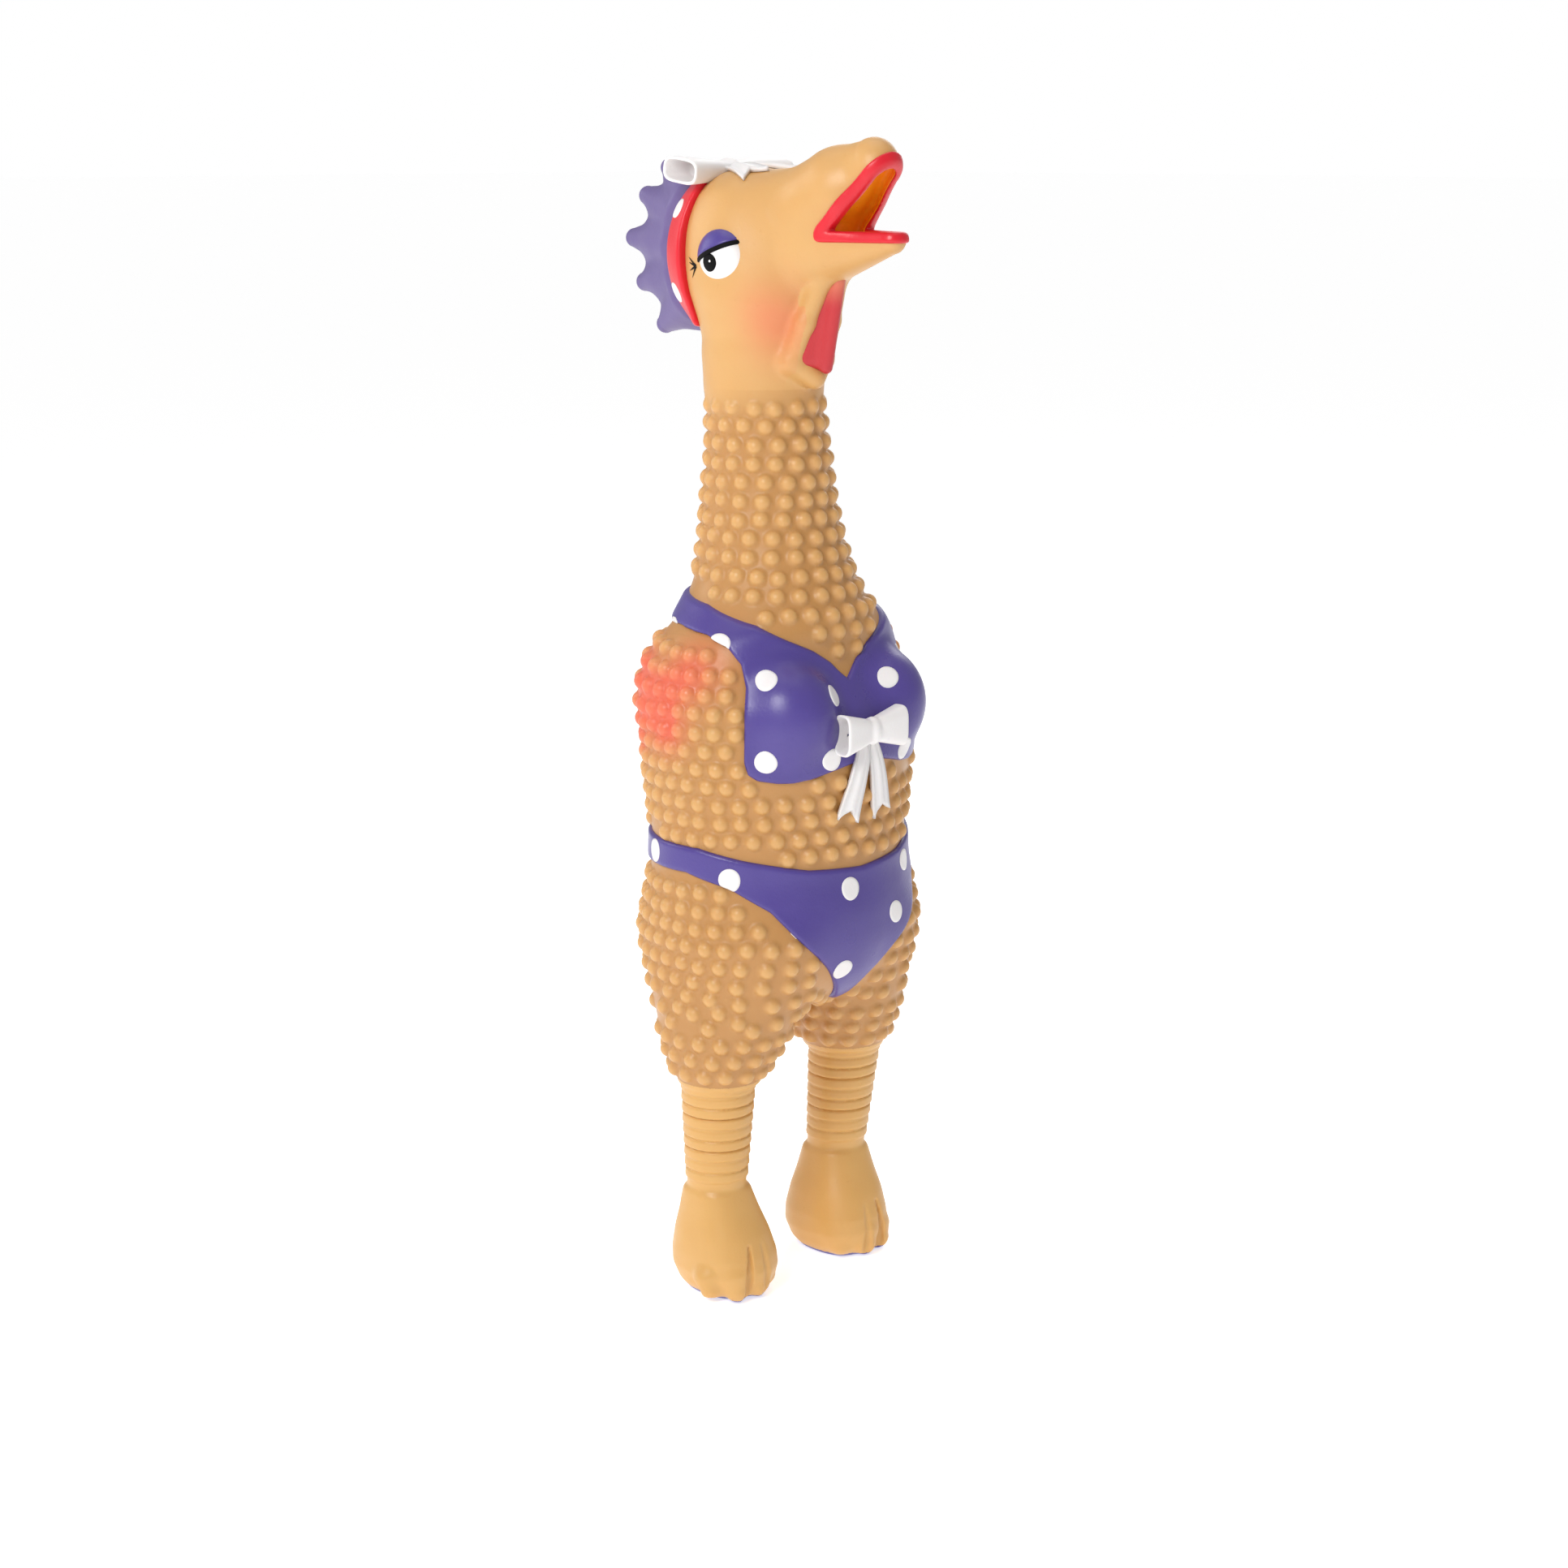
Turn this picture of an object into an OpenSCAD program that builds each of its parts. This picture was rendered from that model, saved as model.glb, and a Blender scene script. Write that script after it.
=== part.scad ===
// Squeaky latex rubber chicken that stands on two flat feet.
// The toy faces -Y, its right side is -X, and z = 0 is the surface it stands on.

/* [Body] */
// Height from the soles to the tip of the upper beak
total_h = 421; // [415:1:427]
// Largest mean radius of the body, at the hips and at the chest
body_r = 50; // [49:0.5:52]
// Mean radius of the waist between the two garments
waist_r = 47.5; // [46:0.5:48.5]
// Width of the body over its mean diameter
body_wide = 1.09; // [1.05:0.01:1.12]
// Depth of the body over its mean diameter
body_deep = 0.88; // [0.86:0.01:0.95]
// Thickness of the latex skin
skin_t = 3; // [2.5:0.1:3.2]

/* [Neck and head] */
// Height of the bend at the base of the neck
neck_z = 258; // [257:0.5:259]
// Height of the bend under the head
nape_z = 335; // [334:0.5:336]
// How far the top of the neck lies behind its base
neck_lean = 8; // [7:0.5:9]
// Radius of the skull
skull_r = 27; // [26.5:0.1:27.5]
// Opening of the upper beak above the level lower beak, in degrees
beak_open = 44; // [42:1:46]

/* [Wings] */
// Radius of each round wing panel, which is pressed to squeeze the toy
wing_r = 24.7; // [23:0.1:24.9]

/* [Legs] */
// Distance of each hip from the middle
hip_x = 29; // [28:0.2:29.4]
// Height of the hips
hip_z = 113; // [112:0.5:114]
// Distance of each knee from the middle
knee_x = 34; // [33:0.5:35]
// Height of the knees, where the ribbed shank starts
knee_z = 81; // [80:0.5:82]
// Distance of each ankle from the middle
ankle_x = 32; // [31:0.5:33]
// Height of the ankles
ankle_z = 41; // [40:0.5:42]
// Number of moulded ribs on each shank
rib_n = 8; // [6:1:9]

/* [Squeaker] */
// Outer radius of the squeaker's housing
squeaker_r = 8; // [7.5:0.1:8]
// Length of the squeaker's housing
squeaker_l = 30; // [26:1:32]

/* [Hidden] */
$fn = 96;

right = -1;
left = 1;
gap = 0.4;            // running clearance of a flex zone
paint_t = 1.6;        // height of a moulded garment above the skin
far = 200;            // reach of a cutting block

beak_reach = 62;      // lower beak's tip in front of the body axis
comb_reach = 76;      // comb's rearmost spike behind the body axis
axis_y = (beak_reach - comb_reach) / 2;

neck_ball_r = 31;
nape_ball_r = 19;
hip_ball_r = 22;
knee_ball_r = 13.5;
ankle_ball_r = 11.5;
neck_tilt = atan(neck_lean / (nape_z - neck_z));
neck_l = norm([neck_lean, nape_z - neck_z]);

crotch_z = hip_z + 3;           // lower rim of the torso, just above the hips' middle
collar_z = neck_z - 3;          // upper rim of the torso, just below the neck's bend
collar_t = 2.2;                 // thickness of the skin round a ball end
thigh_tilt = atan((knee_x - hip_x) / (hip_z - knee_z));
thigh_l = norm([knee_x - hip_x, hip_z - knee_z]);
shank_tilt = atan((ankle_x - knee_x) / (knee_z - ankle_z));
shank_l = norm([ankle_x - knee_x, knee_z - ankle_z]);

skull = [0, 10, 386];
brow = [0, -14, 395];
brow_r = 17;
tip_r = 3.2;
beak_tip = [0, -53.8, total_h - tip_r];
jaw = [0, -30, 392];            // the mouth's corner line, about which the lower beak turns
chin = [0, -29, 383];
chin_r = 9;
lower_tip = [0, -beak_reach + 3, 389];
mouth_gap_z = 1.2;              // depth of the lower lip's top under the corner line
lip_t = 2.5;
lip_w = 3;
jaw_clear_r = 15;
lug_r = 7.6;
wing_centre = [26, 6, 226];
wing_bulge_r = 28.5;
cup_r = 22;
cup = [22, -24, 226];
squeaker_z = 392;
squeaker_front = -18;
sole_t = 2;
headband_r = 25;

// Everything is drawn about the body's own axis, then moved so that the origin is centred below
// the whole toy.
module on_axis() { translate([0, axis_y, 0]) children(); }

// Solid of the torso, wider than it is deep, grown by g over the skin's outer face.
module torso_form(g = 0) {
    scale([body_wide, body_deep, 1]) rotate_extrude()
        polygon([[0, crotch_z - 2 - g], [22 + g, crotch_z - g], [40 + g, crotch_z + 7],
                 [body_r - 2 + g, crotch_z + 16], [body_r + g, 145], [waist_r + g, 160],
                 [waist_r + g, 178], [body_r - 1 + g, 205], [body_r + g, 220], [48.5 + g, 238],
                 [43 + g, 250], [33.5 + g, collar_z], [0, collar_z]]);
}

// Upper beak and brow as one blunt cone, shrunk by s.
module upper_beak_form(s = 0) {
    hull() {
        translate(brow) sphere(r = brow_r - s, $fn = 32);
        translate(beak_tip) sphere(r = max(tip_r - s, 0.6), $fn = 24);
    }
}

// Lower beak from its tip to the chin, shrunk by s.
module lower_beak_form(s = 0) {
    hull() {
        translate(chin) sphere(r = chin_r - s, $fn = 32);
        translate(lower_tip) sphere(r = 3 - min(s, 2.4), $fn = 24);
    }
}

// Block above the mouth's upper plane, which is raised by h.
module above_mouth(h) {
    translate(jaw) rotate([-beak_open, 0, 0]) translate([-far / 2, -far, h]) cube([far, far + 60, far]);
}

// Block between the lower lip's top, lowered by h, and far below it.
module below_mouth(h) {
    translate([-far / 2, -far, jaw[2] - mouth_gap_z - h - far]) cube([far, far * 2, far]);
}

// Skull and throat, shrunk by s.
module skull_form(s = 0) {
    translate(skull) sphere(r = skull_r - s);
    translate([0, neck_lean + 1, nape_z + 3 - s]) cylinder(h = 42, r1 = 21.5 - s, r2 = 26 - s);
}

// Room for the lower beak's rear, which turns about the mouth's corner line.
module jaw_room() {
    intersection() {
        translate(jaw) rotate([0, 90, 0]) cylinder(r = jaw_clear_r, h = 28, center = true);
        translate([-far / 2, -far, jaw[2] + 0.5 - far]) cube([far, far * 2, far]);
    }
    translate(jaw) rotate([0, 90, 0]) cylinder(r = lug_r + gap, h = 28, center = true);
}

// Balls of radius r about both hips.
module hips(r) {
    for (side = [right, left])
        translate([side * hip_x, 0, hip_z]) sphere(r = r);
}

// Round rooms in which the wing panels slide.
module wing_rooms() {
    for (side = [right, left])
        wing_disc(side, wing_r + 0.3);
}

// Round bar of radius r along a wing panel's travel.
module wing_disc(side, r) {
    translate([side * wing_centre[0], wing_centre[1], wing_centre[2]])
        rotate([0, side * 90, 0]) cylinder(r = r, h = 40);
}

// Torso: the hollow latex skin between the neck, the two wing panels and the hips.
module torso_skin() {
    color([0.84, 0.65, 0.37]) on_axis() difference() {
        union() {
            torso_form();
            translate([0, 0, collar_z - 9]) cylinder(h = 9, r = neck_ball_r + gap + collar_t);
            intersection() {
                hips(hip_ball_r + gap + collar_t);
                translate([-far / 2, -far / 2, crotch_z]) cube(far);
            }
        }
        torso_form(-skin_t);
        translate([0, 0, neck_z]) sphere(r = neck_ball_r + gap);
        hips(hip_ball_r + gap);
        wing_rooms();
    }
}

// Solid of the two cups before the torso is taken away from it.
module cups() {
    for (side = [right, left])
        translate([side * cup[0], cup[1], cup[2]]) sphere(r = cup_r);
}

// Bikini top: two moulded cups with a halter that runs up over the shoulders.
module bikini_top() {
    color([0.29, 0.24, 0.53]) on_axis() difference() {
        union() {
            cups();
            intersection() {
                torso_form(paint_t);
                for (side = [right, left])
                    translate([side * 27, -far / 4, 236]) rotate([0, -side * 14, 0])
                        translate([-6.5, 0, 0]) cube([13, far / 4 - 12, 17]);
            }
        }
        torso_form();
        wing_rooms();
    }
}

// Bikini bottom: a waistband all round and a triangle in front.
module bikini_bottom() {
    color([0.29, 0.24, 0.53]) on_axis() difference() {
        intersection() {
            torso_form(paint_t);
            union() {
                rotate([3.6, 0, 0]) translate([-far / 2, -far / 2, 159]) cube([far, far, 11]);
                rotate([90, 0, 0]) linear_extrude(far)
                    polygon([[-45, 160], [-22, 146], [-7, crotch_z + 1], [7, crotch_z + 1],
                             [22, 146], [45, 160], [45, 163], [-45, 163]]);
            }
        }
        torso_form();
    }
}

// Bow of width w and height h, drawn flat: two flared loops, a knot and two notched tails.
module bow_outline(w, h, tail) {
    polygon([[-w / 2, -h / 2], [0, -h / 4], [w / 2, -h / 2], [w / 2, h / 2], [0, h / 4], [-w / 2, h / 2]]);
    circle(r = h * 0.36);
    for (side = [right, left])
        polygon([[side * 0.2, 1], [side * w * 0.2, -tail], [side * w * 0.3, 3 - tail],
                 [side * w * 0.4, -tail], [side * w * 0.12, 1]]);
}

// Moulded bow between the cups.
module chest_bow() {
    color([0.92, 0.91, 0.9]) on_axis() difference() {
        translate([0, -40, 222]) rotate([90, 0, 0]) linear_extrude(8) bow_outline(23, 11, 31);
        torso_form();
        cups();
    }
}

// Wing: a domed panel of skin that slides into the body when it is pressed.
module wing(side) {
    color([0.87, 0.55, 0.35]) on_axis() difference() {
        intersection() {
            union() {
                torso_form();
                translate([side * wing_centre[0], wing_centre[1], wing_centre[2]])
                    sphere(r = wing_bulge_r);
            }
            wing_disc(side, wing_r);
        }
        torso_form(-skin_t);
        translate([side * wing_centre[0], wing_centre[1], wing_centre[2]])
            sphere(r = wing_bulge_r - skin_t);
    }
}
module wing_right() { wing(right); }
module wing_left() { wing(left); }

// Neck: a hollow tapering tube with a ball end at the body and at the head.
module neck_skin() {
    color([0.84, 0.65, 0.37]) on_axis()
        translate([0, 0, neck_z]) rotate([-neck_tilt, 0, 0]) difference() {
            union() {
                sphere(r = neck_ball_r);
                rotate_extrude()
                    polygon([[0, 0], [neck_ball_r - 0.5, 5], [26.6, 21], [23.8, 36], [22, 50], [20.5, 62],
                             [nape_ball_r - 0.3, 69], [nape_ball_r - 0.3, neck_l], [0, neck_l]]);
                translate([0, 0, neck_l]) sphere(r = nape_ball_r);
            }
            sphere(r = neck_ball_r - skin_t);
            rotate_extrude()
                polygon([[0, -far / 2], [18, -far / 2], [18, 0], [neck_ball_r - skin_t - 1, 5],
                         [23.6, 21], [20.8, 36], [19, 50], [nape_ball_r - skin_t, 64],
                         [nape_ball_r - skin_t, neck_l], [12, neck_l + 5], [12, far], [0, far]]);
        }
}

// Head: skull, throat and upper beak in one hollow skin, open below for the neck.
module head_skin() {
    color([0.84, 0.65, 0.37]) on_axis() difference() {
        union() {
            skull_form();
            intersection() {
                upper_beak_form();
                above_mouth(lip_t);
            }
        }
        skull_form(skin_t);
        translate([0, neck_lean, nape_z]) sphere(r = nape_ball_r + gap);
        jaw_room();
        mouth_throat();
        squeaker_bore(squeaker_r);
    }
}

// Way from the mouth back to the squeaker.
module mouth_throat() {
    translate([-6, -40, jaw[2] - 6]) cube([12, 40 + squeaker_front, 12]);
}

// Round seat of the squeaker, of radius r.
module squeaker_bore(r) {
    translate([0, squeaker_front, squeaker_z]) rotate([-90, 0, 0]) cylinder(r = r, h = squeaker_l);
}

// Headband: a raised hoop round the back of the skull, from crown to nape.
module headband() {
    color([0.84, 0.12, 0.18]) on_axis() difference() {
        headband_disc(headband_r);
        skull_form();
    }
}

// Disc of radius r in the headband's plane.
module headband_disc(r) {
    translate([0, 29, 385]) rotate([-90, 0, 0]) cylinder(r = r, h = 11);
}

comb_root = [38, 385];          // middle of the comb's base, as [y, z]
comb_step = 27;                 // angle from spike to spike
comb_tip_r = comb_reach - comb_root[0];
comb_valley_r = comb_tip_r - 9;
comb_droop = 1.2;               // how much shorter the outer spikes are

// Comb: a fan of five blunt spikes behind the headband.
module comb() {
    steps = [for (i = [-2:2]) each [[i - 0.5, comb_valley_r], [i - 0.12, comb_tip_r], [i + 0.12, comb_tip_r]]];
    fan = [for (s = concat(steps, [[2.5, comb_valley_r]]))
        let (r = s[1] - comb_droop * pow(round(s[0]), 2))
        comb_root + [r * cos(s[0] * comb_step), r * sin(s[0] * comb_step)]];
    color([0.41, 0.35, 0.55]) on_axis() difference() {
        rotate([90, 0, 90]) linear_extrude(14, center = true)
            polygon(concat([comb_root + [-8, -22]], fan, [comb_root + [-8, 22]]));
        translate(skull) sphere(r = skull_r);
        headband_disc(headband_r);
    }
}

// Moulded bow on the crown, with its tails lying forward.
module head_bow() {
    color([0.92, 0.91, 0.9]) on_axis() difference() {
        translate([0, 27, 408]) linear_extrude(9.5) bow_outline(30, 14, 26);
        translate(skull) sphere(r = skull_r);
        upper_beak_form();
        headband_disc(headband_r);
    }
}

eye = [21, 11, 385];
eye_r = 8.6;
lid_tilt = 14;

// Block above an eye's lid line, lowered by h.
module above_eye(side, h) {
    translate([side * eye[0], eye[1], eye[2] + h]) rotate([lid_tilt, 0, 0])
        translate([-far / 2, -far / 2, 0]) cube(far);
}

// Eye: a low dome under the lid line.
module eye_dome(side) {
    color("white") on_axis() difference() {
        translate([side * eye[0], eye[1], eye[2]]) sphere(r = eye_r);
        translate(skull) sphere(r = skull_r);
        above_eye(side, 2);
    }
}
module eye_right() { eye_dome(right); }
module eye_left() { eye_dome(left); }

// Eyelid: the upper part of the dome, a little thicker than the eye.
module eyelid(side) {
    color([0.29, 0.24, 0.53]) on_axis() intersection() {
        difference() {
            translate([side * eye[0], eye[1], eye[2]]) sphere(r = eye_r + 0.8);
            translate(skull) sphere(r = skull_r);
        }
        above_eye(side, 2);
    }
}
module eyelid_right() { eyelid(right); }
module eyelid_left() { mirror([1, 0, 0]) eyelid(right); }

// Red lip round the edge of the upper beak.
module upper_lip() {
    color([0.84, 0.12, 0.18]) on_axis() difference() {
        intersection() {
            upper_beak_form();
            above_mouth(0);
        }
        above_mouth(lip_t);
        upper_beak_form(lip_w);
        jaw_room();
        mouth_throat();
        skull_form();
    }
}

// Roof of the mouth.
module upper_mouth_lining() {
    color([0.96, 0.59, 0.12]) on_axis() difference() {
        intersection() {
            upper_beak_form(lip_w);
            above_mouth(0.8);
        }
        above_mouth(lip_t);
        jaw_room();
        mouth_throat();
        skull_form();
        squeaker_bore(squeaker_r);
    }
}

// Wattle: a soft lobe under the chin.
module wattle() {
    color([0.84, 0.12, 0.18]) on_axis() difference() {
        hull() {
            for (side = [right, left]) {
                translate([side * 4, -19, 352]) sphere(r = 8, $fn = 32);
                translate([side * 2, -18, 364]) sphere(r = 6, $fn = 32);
            }
        }
        skull_form();
        jaw_room();
    }
}

// Squeaker housing: a tube with a thick front wall, seated behind the mouth.
module squeaker_housing() {
    color([0.9, 0.9, 0.88]) on_axis() difference() {
        squeaker_bore(squeaker_r);
        translate([0, squeaker_front + 2, squeaker_z]) rotate([-90, 0, 0])
            cylinder(r = squeaker_r - 1.6, h = squeaker_l);
        for (x = [-2.4, 2.4]) for (z = [-2.4, 2.4])
            translate([x, squeaker_front - 1, squeaker_z + z]) rotate([-90, 0, 0]) cylinder(r = 1.5, h = 5);
    }
}

// Ring round the squeaker, which keeps it from working forward through the skin.
module squeaker_ring() {
    color([0.75, 0.75, 0.73]) on_axis()
        translate([0, squeaker_front + 11, squeaker_z]) rotate([-90, 0, 0]) difference() {
            cylinder(r = squeaker_r + 2, h = 4);
            translate([0, 0, -1]) cylinder(r = squeaker_r, h = 6);
        }
}

reed_y = squeaker_front + squeaker_l - 4;

// Reed holder: a plug with a half-round trough over which the reed lies.
module reed_holder() {
    color([0.85, 0.85, 0.82]) on_axis() difference() {
        union() {
            translate([0, reed_y, squeaker_z]) rotate([-90, 0, 0]) cylinder(r = squeaker_r - 1.6, h = 4);
            intersection() {
                translate([0, reed_y - 15, squeaker_z]) rotate([-90, 0, 0]) cylinder(r = 5, h = 15);
                translate([-6, reed_y - 15, squeaker_z - 6]) cube([12, 15, 6]);
            }
        }
        translate([0, reed_y - 13, squeaker_z]) rotate([-90, 0, 0]) cylinder(r = 3, h = 20);
    }
}

// Reed tongue: a thin strip whose free end beats against the trough.
module reed_tongue() {
    color([0.3, 0.5, 0.75]) on_axis()
        translate([-2.5, reed_y - 14, squeaker_z + 0.3]) cube([5, 13.6, 0.4]);
}

// Lower beak: the moving half, with two lugs that turn on the mouth's corner line.
module lower_beak() {
    color([0.84, 0.65, 0.37]) on_axis() difference() {
        union() {
            intersection() {
                lower_beak_form();
                below_mouth(lip_t);
                jaw_side();
            }
            for (side = [right, left])
                translate([side * 9 - 2, jaw[1], jaw[2]]) rotate([0, 90, 0]) cylinder(r = lug_r, h = 4);
        }
        translate([0, 0, lip_t + 0.1]) below_lip_room();
    }
}

// The part of the lower beak that stays clear of the head as it turns.
module jaw_side() {
    translate(jaw) rotate([0, 90, 0]) cylinder(r = jaw_clear_r - gap, h = 27, center = true);
    translate([-far / 2, jaw[1] - far, 0]) cube([far, far, far * 3]);
}

// Front of the lower lip's own space, kept free of the lugs.
module below_lip_room() {
    translate([-far / 2, jaw[1] - far - 4, jaw[2] - mouth_gap_z - 2 * lip_t]) cube([far, far, 20]);
}

// Red lip round the edge of the lower beak.
module lower_lip() {
    color([0.84, 0.12, 0.18]) on_axis() difference() {
        intersection() {
            lower_beak_form();
            below_mouth(0);
            translate([-far / 2, jaw[1] - far - 4, 0]) cube([far, far, far * 3]);
        }
        below_mouth(lip_t);
        lower_beak_form(lip_w);
    }
}

// Floor of the mouth.
module lower_mouth_lining() {
    color([0.96, 0.59, 0.12]) on_axis() difference() {
        intersection() {
            lower_beak_form(lip_w);
            below_mouth(0.8);
            translate([-far / 2, jaw[1] - far - 4, 0]) cube([far, far, far * 3]);
        }
        below_mouth(lip_t);
    }
}

// Places its children in a leg segment's own frame: +Z up its axis, origin at the upper joint.
module along_leg(side, x, z, tilt) {
    translate([side * x, 0, z]) rotate([0, -side * tilt, 0]) children();
}

// Thigh: a ball at the hip and a tapering skin down to the knee's rim.
module thigh(side) {
    rim = thigh_l - 4;
    color([0.84, 0.65, 0.37]) on_axis() difference() {
        along_leg(side, hip_x, hip_z, thigh_tilt) difference() {
            union() {
                sphere(r = hip_ball_r);
                rotate_extrude() polygon([[0, 0], [hip_ball_r, 0], [hip_ball_r - 2, -12],
                                          [16.5, -rim], [0, -rim]]);
            }
            sphere(r = hip_ball_r - skin_t);
            rotate_extrude() polygon([[0, 0], [hip_ball_r - skin_t, 0], [hip_ball_r - skin_t - 2, -11],
                                      [12, -rim + 2], [0, -rim + 2]]);
            translate([0, 0, 5]) cylinder(r = 10, h = far);
        }
        translate([side * knee_x, 0, knee_z]) sphere(r = knee_ball_r + gap);
    }
}
module thigh_right() { thigh(right); }
module thigh_left() { thigh(left); }

// Shank: a ribbed tube with a ball at the knee and at the ankle.
module shank(side) {
    pitch = (shank_l - 10) / rib_n;
    color([0.88, 0.7, 0.38]) on_axis() along_leg(side, knee_x, knee_z, shank_tilt) difference() {
        union() {
            sphere(r = knee_ball_r);
            translate([0, 0, -shank_l]) cylinder(r1 = 10.4, r2 = 12.4, h = shank_l);
            for (i = [0:rib_n - 1])
                translate([0, 0, -6 - (i + 1) * pitch + 1])
                    cylinder(r1 = 11.2 + 0.25 * (rib_n - i), r2 = 10.7 + 0.25 * (rib_n - i), h = pitch - 1);
            translate([0, 0, -shank_l]) sphere(r = ankle_ball_r);
        }
        translate([0, 0, -shank_l - far / 2]) cylinder(r = 7.5, h = far);
    }
}
module shank_right() { shank(right); }
module shank_left() { shank(left); }

// Solid outline of a foot: a round cuff that spreads into a broad toed base.
module foot_form(side) {
    hull() {
        translate([side * ankle_x, 0, ankle_z - 10])
            cylinder(r = ankle_ball_r + gap + collar_t, h = 6.5, $fn = 32);
        for (x = [-9, 9]) for (y = [-13, 9])
            translate([side * (ankle_x - 2) + x, y, 7]) sphere(r = 8.5, $fn = 32);
    }
}

// Foot: the broad moulded foot with its socket for the ankle.
module foot(side) {
    color([0.9, 0.72, 0.4]) on_axis() difference() {
        foot_form(side);
        translate([-far / 2, -far / 2, sole_t - far]) cube(far);
        translate([side * ankle_x, 0, ankle_z]) sphere(r = ankle_ball_r + gap);
        translate([side * ankle_x, 0, 14]) cylinder(r = 7.5, h = far);
    }
}
module foot_right() { foot(right); }
module foot_left() { foot(left); }

// Sole: the flat coloured underside of a foot.
module sole(side) {
    color([0.29, 0.24, 0.53]) on_axis() intersection() {
        foot_form(side);
        translate([-far / 2, -far / 2, 0]) cube([far, far, sole_t]);
    }
}
module sole_right() { sole(right); }
module sole_left() { sole(left); }

torso_skin();
bikini_top();
bikini_bottom();
chest_bow();
wing_right();
wing_left();
neck_skin();
head_skin();
headband();
comb();
head_bow();
eye_right();
eye_left();
eyelid_right();
eyelid_left();
upper_lip();
upper_mouth_lining();
wattle();
squeaker_housing();
squeaker_ring();
reed_holder();
reed_tongue();
lower_beak();
lower_lip();
lower_mouth_lining();
thigh_right();
thigh_left();
shank_right();
shank_left();
foot_right();
foot_left();
sole_right();
sole_left();
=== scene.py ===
"""Squeaky latex rubber chicken: the visual model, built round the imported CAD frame."""
import math

import bpy
import numpy as np
import openvdb
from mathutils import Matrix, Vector


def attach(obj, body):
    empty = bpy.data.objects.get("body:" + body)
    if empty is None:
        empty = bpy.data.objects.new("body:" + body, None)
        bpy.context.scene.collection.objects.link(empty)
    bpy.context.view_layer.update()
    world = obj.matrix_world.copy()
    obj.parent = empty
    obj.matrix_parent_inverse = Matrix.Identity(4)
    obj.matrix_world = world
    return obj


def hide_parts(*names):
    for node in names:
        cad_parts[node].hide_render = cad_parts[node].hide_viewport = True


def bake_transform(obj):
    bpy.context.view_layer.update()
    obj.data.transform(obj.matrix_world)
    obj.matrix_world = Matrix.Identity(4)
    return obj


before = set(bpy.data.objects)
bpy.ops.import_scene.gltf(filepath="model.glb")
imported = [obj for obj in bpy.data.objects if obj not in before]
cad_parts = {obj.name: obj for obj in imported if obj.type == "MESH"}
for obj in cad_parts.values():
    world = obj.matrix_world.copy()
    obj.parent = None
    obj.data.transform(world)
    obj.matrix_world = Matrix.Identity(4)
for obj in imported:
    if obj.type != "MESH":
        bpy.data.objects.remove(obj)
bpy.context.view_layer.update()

# ---- main sizes, in mm; shapes are drawn about the body's own axis, which lies at AXIS_Y ----
AXIS_Y = -7.0
STEP = 0.6      # spacing of the grid on which skins are sampled
BUMP_PITCH = 8.2                       # distance between the moulded bumps
BUMP_R = 3.25                          # radius of a bump's ball
BUMP_OUT = -0.95                       # how far a bump's centre lies outside the skin
DOT_R = 4.1                            # radius of a painted white dot
RIGHT, LEFT = -1, 1
rng = np.random.default_rng(11)


# ---- fields: every function returns a signed distance in mm, negative inside ----
def smin(a, b, k):
    """Union of two fields with a fillet of about k."""
    h = np.maximum(k - np.abs(a - b), 0.0) / k
    return np.minimum(a, b) - h * h * k * 0.25


def smax(a, b, k):
    """Intersection of two fields with a rounding of about k."""
    return -smin(-a, -b, k)


def ball(x, y, z, c, r):
    """Sphere."""
    return np.sqrt((x - c[0]) ** 2 + (y - c[1]) ** 2 + (z - c[2]) ** 2) - r


def egg(x, y, z, c, r):
    """Ellipsoid with the three radii r."""
    px, py, pz = (x - c[0]) / r[0], (y - c[1]) / r[1], (z - c[2]) / r[2]
    k0 = np.sqrt(px * px + py * py + pz * pz)
    k1 = np.sqrt((px / r[0]) ** 2 + (py / r[1]) ** 2 + (pz / r[2]) ** 2) + 1e-6
    return k0 * (k0 - 1.0) / k1


def cone(x, y, z, a, b, ra, rb):
    """Round-ended cone from a to b with the radii ra and rb."""
    ax, ay, az = (b[i] - a[i] for i in range(3))
    px, py, pz = x - a[0], y - a[1], z - a[2]
    t = np.clip((px * ax + py * ay + pz * az) / (ax * ax + ay * ay + az * az), 0.0, 1.0)
    return np.sqrt((px - ax * t) ** 2 + (py - ay * t) ** 2 + (pz - az * t) ** 2) - ra - (rb - ra) * t


class Curve:
    """Smooth curve through a few knots, looked up from a table."""

    def __init__(self, knots, window=7.0):
        zs, vs = zip(*knots)
        fine = 0.25
        reach = int(window / fine)
        self.z = np.arange(zs[0] - window, zs[-1] + window, fine)
        v = np.interp(np.arange(zs[0] - 2 * window, zs[-1] + 2 * window, fine), zs, vs)
        w = np.hanning(2 * reach + 1)
        v = np.convolve(v, w / w.sum(), mode="same")
        start = int(window / fine)
        self.v = v[start:start + len(self.z)]

    def __call__(self, z):
        return np.interp(z, self.z, self.v).astype(np.float32)


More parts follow.
